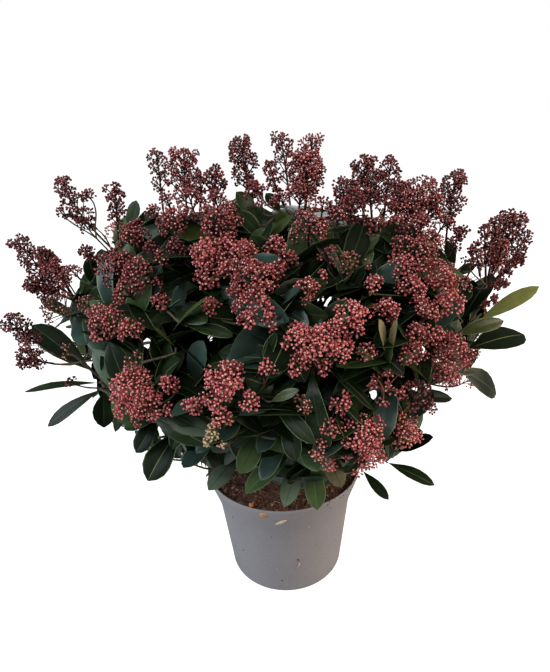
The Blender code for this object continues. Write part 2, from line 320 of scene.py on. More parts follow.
def tube_mesh(path, radii, sides, twist=0.0, relief=None):
    """Vertices and triangles of a closed tube along a path."""
    path = np.asarray(path, float)
    n = len(path)
    tangent = np.gradient(path, axis=0)
    tangent /= np.linalg.norm(tangent, axis=1)[:, None] + 1e-12
    side = across(tangent[0])[0]
    rings = []
    for i in range(n):
        side = side - tangent[i] * (side @ tangent[i])
        side = unit(side)
        other = np.cross(tangent[i], side)
        a = np.arange(sides) * 2 * math.pi / sides + twist * i
        r = np.full(sides, radii[i])
        if relief is not None:
            r = r * relief(i, a)
        rings.append(
            path[i] + np.outer(np.cos(a) * r, side) + np.outer(np.sin(a) * r, other)
        )
    verts = np.concatenate(rings + [path[:1], path[-1:]])
    faces = []
    for i in range(n - 1):
        for j in range(sides):
            a, b = i * sides + j, i * sides + (j + 1) % sides
            c, d = a + sides, b + sides
            faces += [(a, b, d), (a, d, c)]
    first, last = n * sides, n * sides + 1
    for j in range(sides):
        k = (j + 1) % sides
        faces.append((first, k, j))
        faces.append((last, (n - 1) * sides + j, (n - 1) * sides + k))
    return verts, np.array(faces, np.int32)


def join(parts):
    """One mesh from (verts, faces, material index) parts."""
    verts, faces, index, base = [], [], [], 0
    for v, f, m in parts:
        verts.append(v)
        faces.append(np.asarray(f) + base)
        index.append(np.full(len(f), m, np.int32) if np.isscalar(m) else m)
        base += len(v)
    return np.concatenate(verts), np.concatenate(faces), np.concatenate(index)


def bezier(a, leave, b, arrive, n=16, first=0.36, last=0.36):
    span = np.linalg.norm(b - a)
    p1 = a + unit(leave) * span * first
    p2 = b - unit(arrive) * span * last
    t = np.linspace(0, 1, n)[:, None]
    s = 1 - t
    return a * s**3 + p1 * 3 * s * s * t + p2 * 3 * s * t * t + b * t**3


# ------------------------------------------------------------------ boughs
def bough_line(node):
    """Middle line and radii of a bough, read from its solid's rings."""
    obj = RECORD_NODES[node]
    co = np.array([v.co[:] for v in obj.data.vertices])
    co = np.unique(np.round(co, 6), axis=0)
    from_hub = np.linalg.norm(co - HUB, axis=1)
    order = np.argsort(from_hub)
    rings = np.array_split(co[order], 5)
    middles = np.array([r.mean(0) for r in rings])
    radii = np.array([
        np.linalg.norm(r - m, axis=1).mean() for r, m in zip(rings, middles)
    ])
    return middles, radii


low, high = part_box("stem_base")
STEM_TOP = float(high[2])
HUB = np.array([0.0040, -0.0030, STEM_TOP - 0.0112])
boughs = {}
for node in sorted(RECORD_NODES):
    if node.startswith("bough_"):
        middles, radii = bough_line(node)
        mass = node.replace("bough", "mass")
        lo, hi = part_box(mass)
        core = (np.array(lo) + np.array(hi)) / 2
        boughs[mass] = {"node": node, "mid": middles, "rad": radii, "core": core}


def smooth_line(points, n):
    """A smooth line through points, at n even steps."""
    points = np.asarray(points, float)
    p = np.concatenate([[2 * points[0] - points[1]], points, [2 * points[-1] - points[-2]]])
    out = []
    for i in range(1, len(p) - 2):
        for t in np.linspace(0, 1, 12, endpoint=False):
            out.append(0.5 * (
                2 * p[i] + (p[i + 1] - p[i - 1]) * t
                + (2 * p[i - 1] - 5 * p[i] + 4 * p[i + 1] - p[i + 2]) * t * t
                + (3 * p[i] - p[i - 1] - 3 * p[i + 1] + p[i + 2]) * t**3
            ))
    out.append(p[-2])
    out = np.array(out)
    run = np.concatenate([[0], np.cumsum(np.linalg.norm(np.diff(out, axis=0), axis=1))])
    at = np.linspace(0, run[-1], n)
    return np.stack([np.interp(at, run, out[:, k]) for k in range(3)], 1)


attach = []              # (point, direction, radius) where shoots may leave
bough_parts = []
for mass, b in boughs.items():
    tip = b["mid"][-1]
    along = unit(b["mid"][-1] - b["mid"][-2])
    inward = b["core"] - tip
    onward = tip + along * 0.030 + unit(inward) * min(0.045, np.linalg.norm(inward))
    points = np.concatenate([[HUB + (b["mid"][0] - HUB) * 0.35], b["mid"], [
        (tip + onward) / 2 + along * 0.004, onward,
    ]])
    line = smooth_line(points, max(18, int(np.linalg.norm(onward - HUB) / 0.005)))
    share = np.linspace(0, 1, len(line))
    radii = np.interp(share, [0, 0.12, 0.7, 1], [0.0052, 0.0042, 0.0027, 0.0021])
    seed = rng.uniform(0, 50)

    def relief(i, a, seed=seed, count=len(line)):
        rough = np.array([
            noise.noise(Vector((seed + 1.7 * math.cos(x), seed + 1.7 * math.sin(x), i * 0.55)))
            for x in a
        ])
        scar = 0.10 if i % 7 == 3 else 0.0
        return 1 + 0.15 * rough + scar

    v, f = tube_mesh(line, radii, 10, relief=relief)
    bough_parts.append((v, f, 0))
    b["line"] = line
    for k in range(int(len(line) * 0.45), len(line), 2):
        d = unit(line[min(k + 1, len(line) - 1)] - line[k - 1])
        attach.append((line[k], d, radii[k], mass))
ATTACH_P = np.array([a[0] for a in attach])
ATTACH_D = np.array([a[1] for a in attach])
CORES = {m: b["core"] for m, b in boughs.items()}
CORE_NAMES = list(CORES)
CORE_P = np.array([CORES[m] for m in CORE_NAMES])


def mass_of(p):
    return CORE_NAMES[int(np.argmin(np.linalg.norm(CORE_P - p, axis=1)))]


# ------------------------------------------------------------------ flower heads
# Heads of buds seen from the front: where the middle of the buds shows (across, down), width and length there,
# fullness and colour.
# Head tones: BRIGHT paints light on the red, DARK and DUSK paint shade; MID, BROWN, ORANGE and PALE are the buds' own
# colours.
BRIGHT, MID, DARK, BROWN, ORANGE, PALE, DUSK = range(7)
HEADS = (
    # left edge and upper left
    (56, 306, 42, 24, 0.60, BROWN), (84, 302, 26, 18, 0.55, BROWN),
    (66, 350, 20, 16, 0.35, BROWN),
    (70, 382, 16, 12, 0.45, DARK),
    (190, 200, 30, 24, 0.85, MID), (176, 222, 42, 38, 0.95, MID),
    (134, 236, 34, 34, 0.95, MID), (117, 266, 42, 38, 1.00, MID),
    (141, 274, 38, 36, 0.95, MID), (126, 290, 38, 24, 0.85, MID),
    (150, 248, 18, 18, 0.60, DARK), (175, 246, 24, 20, 0.70, DARK),
    (160, 258, 20, 16, 0.55, MID), (104, 321, 44, 38, 0.95, MID),
    (132, 330, 30, 30, 0.75, MID), (160, 300, 20, 20, 0.70, MID),
    (158, 282, 14, 14, 0.50, DARK),
    # knobs of the left panicles
    (88, 195, 17, 15, 0.80, DUSK), (60, 211, 12, 9, 0.50, DARK), (82, 221, 18, 12, 0.60, DARK),
    (73, 272, 18, 18, 0.90, DUSK), (50, 262, 17, 16, 0.85, DUSK), (262, 190, 16, 13, 0.70, DUSK),
    (226, 245, 30, 24, 0.90, MID), (228, 268, 24, 22, 0.80, MID), (235, 291, 22, 20, 0.70, MID),
    (288, 256, 20, 16, 0.60, DUSK), (398, 244, 22, 20, 0.60, DUSK), (396, 222, 22, 20, 0.65, DUSK),
    (420, 304, 24, 20, 0.75, MID), (432, 334, 28, 22, 0.80, MID), (336, 326, 24, 20, 0.75, BRIGHT),
    # the two big columns left of the middle
    (216, 201, 26, 30, 0.95, MID), (221, 226, 46, 38, 1.00, MID),
    (207, 256, 38, 38, 1.00, MID), (206, 278, 30, 26, 0.80, MID),
    (242, 258, 44, 38, 1.00, MID), (256, 277, 50, 42, 1.00, MID),
    (254, 303, 44, 28, 0.90, MID), (211, 306, 24, 28, 0.65, MID),
    (246, 318, 28, 16, 0.60, BRIGHT), (270, 320, 22, 18, 0.60, MID),
    # top, and the heads that join the panicles to the crown
    (153, 211, 22, 18, 0.70, MID), (167, 200, 24, 20, 0.80, MID), (206, 213, 24, 18, 0.80, MID),
    (228, 209, 22, 20, 0.70, MID), (241, 201, 18, 16, 0.60, DARK), (279, 199, 22, 16, 0.70, MID),
    (323, 205, 24, 20, 0.75, MID), (339, 216, 20, 18, 0.70, MID), (367, 196, 26, 20, 0.80, DARK),
    (300, 194, 38, 26, 0.85, MID), (309, 228, 42, 42, 1.00, MID),
    (275, 247, 32, 26, 0.90, MID), (277, 268, 24, 22, 0.75, MID),
    (292, 262, 20, 16, 0.50, DARK), (262, 204, 16, 14, 0.45, DARK),
    (308, 290, 30, 30, 0.80, MID), (330, 256, 24, 24, 0.50, DARK),
    (322, 276, 16, 14, 0.45, MID),
    # upper right
    (352, 208, 40, 38, 0.90, DARK), (385, 208, 30, 28, 0.75, DARK),
    (374, 224, 26, 20, 0.70, DARK), 
    (408, 209, 42, 32, 0.95, MID),
    (431, 210, 34, 34, 0.90, MID), (420, 228, 42, 22, 0.90, MID),
    (444, 224, 26, 20, 0.75, MID),
    (418, 250, 46, 32, 1.00, MID), (404, 266, 34, 26, 0.90, MID),
    (438, 276, 46, 32, 1.00, MID), (412, 288, 38, 30, 0.95, MID),
    (449, 302, 36, 30, 0.90, BRIGHT), (430, 312, 28, 22, 0.80, MID),
    (354, 263, 32, 24, 0.50, BROWN), (374, 284, 22, 28, 0.70, MID),
    (386, 308, 32, 28, 0.75, MID), (414, 332, 30, 26, 0.80, MID),
    # right edge
    (464, 284, 20, 24, 0.70, BROWN),
    (466, 262, 16, 14, 0.45, DARK),
    # middle and lower right
    (350, 317, 46, 42, 1.00, BRIGHT), (298, 338, 36, 36, 1.00, BRIGHT),
    (320, 342, 42, 44, 1.00, BRIGHT), (340, 348, 32, 32, 0.90, BRIGHT),
    (302, 362, 36, 20, 0.70, MID), (366, 352, 24, 26, 0.75, MID),
    (324, 366, 22, 14, 0.55, MID), (452, 352, 50, 34, 1.00, MID),
    (446, 374, 38, 24, 0.75, MID), (412, 354, 30, 30, 0.80, MID),
    (388, 386, 40, 16, 0.50, MID), (420, 398, 52, 16, 0.45, DARK),
    # front of the pot
    (362, 432, 50, 40, 1.00, BRIGHT), (364, 453, 46, 30, 1.00, BRIGHT),
    (404, 432, 36, 42, 1.00, ORANGE), (341, 401, 28, 22, 0.65, MID),
    (330, 427, 24, 26, 0.60, MID), (318, 448, 30, 26, 0.55, ORANGE),
    (328, 464, 22, 14, 0.60, ORANGE), (302, 404, 22, 26, 0.55, BROWN),
    (227, 377, 46, 36, 1.00, BRIGHT), (215, 394, 36, 26, 0.95, BRIGHT),
    (250, 401, 28, 26, 0.75, BRIGHT), (193, 406, 20, 32, 0.95, BRIGHT),
    (221, 416, 26, 22, 0.75, ORANGE), (213, 431, 22, 16, 0.70, PALE),
    (207, 442, 13, 9, 0.50, PALE), (222, 444, 12, 9, 0.45, PALE),
    (268, 368, 22, 22, 0.60, MID), (132, 385, 52, 36, 1.00, BRIGHT),
    (146, 402, 40, 24, 0.95, BRIGHT), (126, 406, 30, 22, 0.80, BRIGHT),
    (137, 417, 20, 14, 0.55, MID), (153, 414, 20, 15, 0.55, MID), (168, 409, 18, 14, 0.50, MID), (169, 384, 22, 26, 0.75, MID),
    (132, 360, 24, 14, 0.55, BROWN),
)
# Panicles on the outline, against the sky: foot, tip, half width at the widest,
# how many bunches, colour
# The dark and dusk tones of these panicles against the sky are painted shade.
SPIKES = (
    ((110, 247), (57, 174), 14, 26, DARK), ((97, 229), (60, 212), 5, 5, DARK),
    ((118, 240), (113, 181), 13, 16, DARK), ((74, 298), (11, 235), 12, 30, DARK),
    ((76, 302), (36, 245), 11, 22, DARK), ((72, 300), (22, 281), 11, 24, DARK),
    ((74, 298), (52, 256), 8, 10, DUSK), ((100, 260), (78, 248), 8, 6, DARK),
    ((163, 210), (156, 146), 12, 14, DARK), ((187, 214), (183, 145), 19, 48, DUSK),
    ((214, 208), (215, 165), 12, 15, DARK), ((200, 214), (200, 170), 9, 9, DARK),
    ((251, 206), (239, 134), 16, 36, DARK), ((252, 206), (254, 178), 8, 8, DARK),
    ((50, 352), (2, 316), 14, 22, DARK), ((54, 364), (13, 356), 12, 14, DARK),
    ((290, 204), (279, 129), 15, 21, DARK), ((284, 206), (267, 158), 8, 10, DARK),
    ((306, 208), (314, 131), 15, 27, DUSK), ((305, 214), (306, 149), 20, 55, DUSK),
    ((352, 224), (338, 176), 12, 14, DARK), ((372, 218), (365, 155), 18, 35, DARK),
    ((384, 216), (393, 153), 13, 15, DARK), ((352, 226), (352, 178), 9, 12, DARK),
    ((420, 240), (418, 178), 24, 56, DUSK), ((446, 242), (458, 168), 16, 32, DARK),
    ((396, 224), (400, 178), 11, 14, DARK), ((448, 256), (466, 226), 9, 9, DARK),
    ((487, 284), (496, 214), 9, 15, DARK), ((488, 284), (511, 207), 11, 25, DARK),
    ((489, 284), (526, 210), 10, 22, DARK), ((489, 285), (532, 228), 8, 13, DARK),
    ((489, 286), (527, 252), 7, 10, DARK), ((488, 288), (510, 280), 6, 8, DARK),
    ((486, 284), (484, 221), 7, 10, DARK), ((488, 284), (506, 238), 10, 16, DUSK),
    ((480, 276), (474, 243), 7, 9, DARK), ((480, 308), (500, 295), 5, 4, DARK),
)
# Small openings where the sky shows through: (across, down, radius)
OPEN = (
    (88, 233, 8), (76, 262, 5), (140, 202, 5), (134, 184, 9), (200, 212, 3),
    (219, 150, 8), (258, 146, 6), (257, 172, 5), (281, 205, 3), (326, 186, 10),
    (341, 206, 4), (376, 204, 4), (384, 190, 6), (404, 178, 6), (436, 168, 8),
    (452, 224, 4), (456, 254, 6), (466, 252, 5), (329, 296, 4), (326, 303, 4),
    (148, 342, 4), (143, 348, 3), (166, 320, 4), (211, 337, 4), (339, 411, 5),
    (373, 394, 5), (422, 350, 4), (440, 360, 3), (486, 270, 4), (504, 302, 4),
    (414, 388, 4), (426, 386, 5), (438, 386, 4), (60, 345, 6), (38, 318, 9),
    (58, 240, 9), (44, 218, 9), (92, 184, 9), (500, 312, 5), (330, 160, 8),
    (470, 220, 6), (488, 200, 10), (40, 372, 8), (90, 362, 6), (88, 378, 5),
    (76, 406, 4), (124, 434, 4), (160, 432, 3), (462, 388, 5), (436, 412, 5),
    (436, 456, 8), (486, 300, 3), (205, 470, 4), (354, 486, 4),
)

buds = {"pos": [], "dir": [], "size": [], "body": [], "tip": [], "mass": [], "front": []}
stalks = {"a": [], "b": [], "r": [], "mat": [], "mass": []}
shoots = []              # {"base", "axis", "mass", "hero", "reach"}
balls = []               # (middle, radius) of each head, for leaves to keep off

# Tips and stalks follow the head's tone, so the dark heads get painted-shade tips and stalks.
TIP_FOR = {
    BRIGHT: ((0, 0.56), (1, 0.34), (2, 0.10)),
    MID: ((0, 0.56), (1, 0.12), (2, 0.32)),
    DARK: ((0, 0.05), (2, 0.30), (4, 0.65)),
    DUSK: ((0, 0.34), (1, 0.06), (2, 0.60)),
    BROWN: ((0, 0.35), (1, 0.10), (2, 0.55)),
    ORANGE: ((0, 0.45), (1, 0.45), (2, 0.10)),
    PALE: ((1, 0.45), (3, 0.55)),
}
NEAR_TONE = {
    BRIGHT: ((BRIGHT, 0.78), (MID, 0.22)),
    MID: ((MID, 0.66), (BRIGHT, 0.16), (DUSK, 0.18)),
    DARK: ((DARK, 0.78), (DUSK, 0.22)),
    DUSK: ((DUSK, 0.66), (MID, 0.18), (DARK, 0.16)),
    BROWN: ((BROWN, 0.85), (MID, 0.15)),
    ORANGE: ((ORANGE, 0.55), (BRIGHT, 0.45)),
    PALE: ((PALE, 0.75), (ORANGE, 0.25)),
}
STALK_FOR = {BRIGHT: 0, MID: 0, DARK: 2, BROWN: 1, ORANGE: 0, PALE: 3, DUSK: 2}


def pick(table):
    x = rng.random()
    for value, share in table:
        x -= share
        if x <= 0:
            return value
    return table[-1][0]


def add_stalk(a, b, r, mat, mass):
    stalks["a"].append(a)
    stalks["b"].append(b)
    stalks["r"].append(r)
    stalks["mat"].append(mat)
    stalks["mass"].append(mass)


def grow_bunch(start, spot, facing, bunch, n, tone, stalk, mass, front, every, thick=1.0):
    """A side branch from start to a little round bunch of buds about spot."""
    base = spot - facing * bunch * 0.72
    bend = (start + base) / 2 - facing * 0.0012
    add_stalk(start, bend, 0.00072 * thick, stalk, mass)
    add_stalk(bend, base, 0.00060 * thick, stalk, mass)
    f_side, f_other = across(facing)
    spin = rng.uniform(0, 2 * math.pi)
    limit = math.cos(math.radians(84))
    tone_here = pick(NEAR_TONE[tone])
    for j in range(n):
        c = 1 - (1 - limit) * (j + 0.4) / n
        s = math.sqrt(1 - c * c)
        w = spin + 2.39996 * j + rng.normal(0, 0.2)
        d = unit(
            facing * c + f_side * s * math.cos(w) + f_other * s * math.sin(w)
            + rng.normal(0, 0.07, 3)
        )
        p = base + d * bunch * rng.uniform(0.70, 1.04)
        buds["pos"].append(p)
        buds["dir"].append(d)
        buds["size"].append(rng.uniform(0.84, 1.12) * (1.0 if front else 1.12))
        buds["body"].append(tone_here if rng.random() < 0.85 else pick(NEAR_TONE[tone]))
        buds["tip"].append(pick(TIP_FOR[tone]))
        buds["mass"].append(mass)
        buds["front"].append(front)
        if j % every == 0:
            add_stalk(base, p, 0.00036 * thick, stalk, mass)


def grow_head(middle, axis, wide, tall, full, tone, front=True):
    """A dome of a panicle: a stalk with side branches whose bunches fill it,
    a few of them standing out. Returns its foot."""
    mass = mass_of(middle)
    side, other = across(axis)
    bunch = 0.0076 if full > 0.7 else 0.0062 + 0.0014 * full
    bunch = min(bunch, wide * 0.60)
    spread_w = max(0.002, wide - bunch * 0.30)
    spread_t = max(0.002, tall - bunch * 0.30)
    area = 2 * math.pi * (wide * (0.55 * wide + 0.45 * tall)) * 1.15
    count = max(2, int(round(full * area / (math.pi * bunch**2) * 0.92)))
    low_cos = -0.34 if full > 0.7 else -0.45
    foot = middle - axis * (tall * 1.05 + 0.004)
    stalk = STALK_FOR[tone]
    top = middle + axis * tall * 0.45
    add_stalk(foot, (foot + top) / 2, 0.00125, stalk, mass)
    add_stalk((foot + top) / 2, top, 0.00095, stalk, mass)
    turn = rng.uniform(0, 2 * math.pi)
    lobes = rng.uniform(0, 2 * math.pi)
    for i in range(count):
        cos_t = 1 - (1 - low_cos) * (i + 0.5) / count
        sin_t = math.sqrt(max(0.0, 1 - cos_t**2))
        a = turn + 2.39996 * i + rng.normal(0, 0.22)
        k = rng.uniform(0.84, 1.06) if full > 0.7 else rng.uniform(0.72, 1.05)
        small = 1.0
        # its main side branches make lobes with hollows between them
        lobe = math.sin(3 * a + lobes + 3.2 * cos_t)
        k *= 1 + 0.10 * lobe
        if lobe < -0.6 and wide > 0.012:
            k, small = k * 0.90, 0.86
        if rng.random() < (0.10 if cos_t > 0.3 else 0.26):
            k, small = rng.uniform(1.08, 1.24), 0.82
        out = side * math.cos(a) * sin_t + other * math.sin(a) * sin_t
        cone = 1 - 0.20 * max(0.0, cos_t) ** 1.5
        spot = middle + out * spread_w * k * cone + axis * cos_t * spread_t * k
        rise = cos_t * tall - 0.85 * wide * sin_t
        rise = min(max(rise, -tall * 1.02), tall * 0.42)
        start = middle + axis * rise
        facing = unit(
            0.65 * unit(spot - (middle - axis * tall * 0.35)) + 0.35 * unit(spot - start)
            + rng.normal(0, 0.12, 3)
        )
        n = (14.0 if front else 10.5) * (bunch * small / 0.0078) ** 1.3
        n = max(5, int(round(n + rng.integers(-1, 2))))
        every = 3 if full > 0.7 and small == 1.0 else 2
        grow_bunch(start, spot, facing, bunch * small, n, tone, stalk, mass, front, every,
                   1.35 if front else 1.0)
    balls.append((middle, max(wide, tall)))
    return foot


def grow_spike(foot, tip, half, count, tone):
    """A tall panicle seen against the sky: a straight stalk with branches that
    rise from it all round, each with its bunch, and sky between them."""
    mass = mass_of(foot)
    stalk = STALK_FOR[tone]
    axis = unit(tip - foot)
    long = float(np.linalg.norm(tip - foot))
    side, other = across(axis)
    bow = side * rng.normal(0, 0.02 * long) + other * rng.normal(0, 0.02 * long)

    def stem(t):
        return foot + (tip - foot) * t + bow * math.sin(math.pi * t)

    marks = np.linspace(0, 0.97, 7)
    for t0, t1 in zip(marks[:-1], marks[1:]):
        add_stalk(stem(t0), stem(t1), 0.0019 - 0.0010 * t0, stalk, mass)
    turn = rng.uniform(0, 2 * math.pi)
    bunch = min(0.0058, half * 0.55)
    for i in range(count):
        t = 0.30 + 0.70 * ((i + 0.5) / count) ** 0.80
        reach = half * math.sqrt(max(0.03, 1 - ((t - 0.70) / 0.44) ** 2))
        k = rng.uniform(0.72, 1.0)
        if i % 3 == 0:
            k *= rng.uniform(0.40, 0.75)
        a = turn + 2.39996 * i + rng.normal(0, 0.25)
        out = side * math.cos(a) + other * math.sin(a)
        spot = stem(min(t, 0.985)) + out * max(0.0, reach - bunch * 0.3) * k
        start = stem(max(0.10, t - reach * k * 0.95 / long))
        facing = unit(out * (0.35 + 0.5 * k) * (reach > bunch) + axis * 0.75 + rng.normal(0, 0.12, 3))
        size = bunch * rng.uniform(0.85, 1.15)
        n = int(rng.integers(10, 15))
        grow_bunch(start, spot, facing, size, n, tone, stalk, mass, tone != DARK, 2, 1.45)
    balls.append((stem(0.62), half))
    return axis


def head_axis(p, lift=0.22):
    return unit(unit(p - FOCUS) + np.array([0.0, 0.0, lift]))


hero_discs = []
for u, v, w, h, full, tone in HEADS:
    if tone == MID and (v < 236 or v < 262 and u > 380 or v < 300 and u < 185):
        tone = DUSK          # painted shade: the topmost heads get the darker dusk red
    middle = on_crown(u, v, 0.955)
    dist = (middle - EYE) @ AHEAD
    wide = max(0.0042, w * dist / FOCAL / 2 - 0.0012)
    # seen end-on a dome is as long as it is wide
    tall = max(0.0042, h * dist / FOCAL / 2 - 0.0012, 0.62 * wide)
    axis = head_axis(middle)
    foot = grow_head(middle, axis, wide, tall, full, tone)
    hero_discs.append((u, v, w / 2, h / 2, dist, full))
    shoots.append({
        "base": foot, "axis": axis, "mass": mass_of(foot), "hero": True,
        "clear": 0.012, "size": wide, "leaves": wide > 0.013,
    })
for (u0, v0), (u1, v1), half, count, tone in SPIKES:
    middle = on_crown(u0 * 0.35 + u1 * 0.65, v0 * 0.35 + v1 * 0.65, 0.985)
    tip = at_depth(u1, v1, middle[1])
    foot = at_depth(u0, v0, middle[1] * 0.85)
    dist = (middle - EYE) @ AHEAD
    wide = half * dist / FOCAL
    tip = tip - unit(tip - foot) * 0.004
    axis = grow_spike(foot, tip, wide, count, tone)
    for t in (0.35, 0.6, 0.85):
        hero_discs.append((
            u0 + (u1 - u0) * t, v0 + (v1 - v0) * t, half * 0.9, half * 0.9, dist,
            0.6 if count > 20 else 0.4,
        ))
    shoots.append({
        "base": foot, "axis": axis, "mass": mass_of(foot), "hero": True,
        "clear": 0.004, "size": wide, "leaves": half > 10,
    })

# ------------------------------------------------------------------ what the view keeps
near = np.full((VIEW_H, VIEW_W), np.inf)
vv, uu = np.mgrid[0:VIEW_H, 0:VIEW_W]
for u, v, a, b, dist, full in hero_discs:
    if full >= 0.5:
        hit = ((uu - u) / (a * 0.92)) ** 2 + ((vv - v) / (b * 0.92)) ** 2 < 1
        near[hit] = np.minimum(near[hit], dist - 0.010)
top_edge = np.full(VIEW_W, VIEW_H)
low_edge = np.zeros(VIEW_W)
for u, v, a, b, dist, full in hero_discs:
    for c in range(max(0, int(u - a)), min(VIEW_W, int(u + a) + 1)):
        reach = b * math.sqrt(max(0.0, 1 - ((c - u) / max(a, 1)) ** 2))
        top_edge[c] = min(top_edge[c], v - reach)
        low_edge[c] = max(low_edge[c], v + reach)


def in_open(u, v, grow=0.0):
    hit = np.zeros(np.shape(u), bool)
    for ou, ov, r in OPEN:
        hit |= np.hypot(u - ou, v - ov) < r + grow
    return hit


LEAF_TOP = np.array((
    (0, 335), (40, 318), (70, 298), (86, 264), (108, 236), (126, 208), (160, 206),
    (190, 212), (228, 196), (262, 198), (290, 200), (330, 208), (360, 214), (400, 214),
    (438, 232), (450, 262), (464, 272), (482, 276), (500, 296), (540, 310),
))
LEAF_LOW = np.array((
    (0, 318), (40, 336), (80, 350), (92, 374), (90, 396), (102, 420), (118, 426),
    (136, 442), (152, 464), (182, 458), (202, 472), (246, 480), (285, 490),
    (318, 492), (342, 478), (368, 470), (392, 462), (422, 450), (427, 438),
    (425, 408), (440, 396), (456, 391), (474, 380), (488, 362), (500, 342),
    (514, 320), (524, 296),
))


def blocks_opening(u, v):
    """Whether a leaf, given as four rows of four points, shows in front of one
    of the openings."""
    left, right = np.stack([u[:, 0], v[:, 0]], 1), np.stack([u[:, 3], v[:, 3]], 1)
    middle = (left + right) / 2
    half = np.linalg.norm(left - right, axis=1) / 2
    span = middle[3] - middle[0]
    length = float(span @ span) + 1e-6
    for ou, ov, r in OPEN:
        t = ((ou - middle[0, 0]) * span[0] + (ov - middle[0, 1]) * span[1]) / length
        if not -0.3 < t < 1.1:
            continue
        row = min(max(t, 0.0), 1.0) * 3
        k = min(2, int(row))
        at = middle[k] * (1 - row + k) + middle[k + 1] * (row - k)
        wide = half[k] * (1 - row + k) + half[k + 1] * (row - k)
        if math.hypot(ou - at[0], ov - at[1]) < wide + r * 0.7:
            return True
    return False


def among_leaves(u, v, radius):
    """Whether a head of that size would show inside the leaves' outline."""
    at = [u - radius, u, u + radius]
    return (
        v - radius > np.interp(at, LEAF_TOP[:, 0], LEAF_TOP[:, 1]).max()
        and v + radius < np.interp(at, LEAF_LOW[:, 0], LEAF_LOW[:, 1]).min()
    )


def hides_front(points, share=0.20):
    """Whether these points would cover a head or an opening seen in front, or
    stand out of the leaves' outline there."""
    u, v, z = shows_at(points)
    within = rng.uniform(0, 11)
    if (v < np.interp(u, LEAF_TOP[:, 0], LEAF_TOP[:, 1]) + within).sum() > 1:
        return True
    if (v > np.interp(u, LEAF_LOW[:, 0], LEAF_LOW[:, 1]) - within).sum() > 1:
        return True
    if blocks_opening(u.reshape(4, 4), v.reshape(4, 4)):
        return True
    iu = np.clip(u.astype(int), 0, VIEW_W - 1)
    iv = np.clip(v.astype(int), 0, VIEW_H - 1)
    front = near[iv, iu]
    over = ((z < front) & np.isfinite(front)).mean()
    return over > share


# Heads of the two ends, behind the leaves that show there: across, down, y, half width.
END_HEADS = (
    (477, 300, 0.030, 0.019), (490, 332, 0.020, 0.018), (470, 350, 0.055, 0.020),
    (473, 378, 0.010, 0.016), (458, 322, 0.085, 0.021), (452, 374, 0.060, 0.020),
    (464, 292, 0.105, 0.019), (93, 328, 0.045, 0.020), (79, 353, 0.025, 0.016),
    (101, 300, 0.085, 0.020), (108, 374, 0.060, 0.020), (112, 402, 0.035, 0.017),
    (99, 278, 0.110, 0.017), (95, 348, 0.090, 0.019),
)
for u, v, y, wide in END_HEADS:
    p = at_depth(u, v, y)
    axis = head_axis(p)
    # Painted light or shade at random: the lit, mid or shaded red.
    tone = pick(((BRIGHT, 0.3), (MID, 0.6), (DUSK, 0.1)))
    foot = grow_head(p - axis * 0.003, axis, wide, wide * rng.uniform(0.9, 1.25), 0.95, tone, False)
    shoots.append({
        "base": foot, "axis": axis, "mass": mass_of(foot), "hero": False,
        "clear": 0.016, "size": wide, "leaves": True,
    })

# Heads on the sides and the back, by the same rule as in front.
placed = [s["base"] + s["axis"] * 0.03 for s in shoots if s["size"] > 0.012]
tries = 0
back_count = 0
while tries < 6400 and back_count < 72:
    tries += 1
    z = rng.uniform(-0.42, 0.98)
    a = rng.uniform(0, 2 * math.pi)
    if tries > 2600:         # then the two ends, which are hard to reach
        a = rng.normal(0, 0.32) + (math.pi if rng.random() < 0.5 else 0.0)
    r = math.sqrt(max(0.0, 1 - z * z))
    d = np.array([r * math.cos(a), r * math.sin(a), z * 0.72])
    d = unit(d)
    p = CENTRE + d * 0.18
    for _ in range(3):
        p = CENTRE + (p - CENTRE) / crown_level(p) * rng.uniform(0.93, 0.985)
    if p[2] < 0.300:
        continue
    u, v, dist = shows_at(p)
    if not (0 <= u < VIEW_W and 0 <= v < VIEW_H):
        continue
    wide = rng.uniform(0.020, 0.030) if p[1] > 0.02 else rng.uniform(0.016, 0.022)
    radius = wide * FOCAL / dist + 3
    column = slice(max(0, int(u - radius)), min(VIEW_W, int(u + radius) + 1))
    outside = v - radius < top_edge[column].max() or v + radius > low_edge[column].min() - 2
    faces_view = (EYE - p) @ head_axis(p) > 0 and p[1] < 0.02
    if v - radius < np.interp(u, LEAF_TOP[:, 0], LEAF_TOP[:, 1]) - 6:
        continue
    hidden = p[1] > -0.07 and among_leaves(u, v, radius)
    if outside and p[1] < 0.12 and not hidden:
        continue
    if v - radius < top_edge[int(u)] + 4 and not hidden:
        continue
    if faces_view and near[int(v), int(u)] < np.inf:
        continue
    if faces_view and rng.random() < 0.75:
        continue
    if in_open(np.array([u]), np.array([v]), radius * 0.8).any():
        continue
    if min(np.linalg.norm(p - q) for q in placed) < 0.050:
        continue
    full = float(rng.choice([1.0, 0.9, 0.8, 0.55, 0.4], p=[0.34, 0.24, 0.16, 0.16, 0.10]))
    # Painted light or shade at random: the lit, mid or shaded red.
    tone = int(rng.choice([BRIGHT, MID, DARK], p=[0.30, 0.50, 0.20]))
    axis = head_axis(p)
    tall = wide * rng.uniform(0.85, 1.35)
    foot = grow_head(p - axis * 0.004, axis, wide, tall, full, tone, False)
    shoots.append({
        "base": foot, "axis": axis, "mass": mass_of(foot), "hero": False,
        "clear": 0.016, "size": wide, "leaves": True,
    })
    placed.append(p)
    back_count += 1

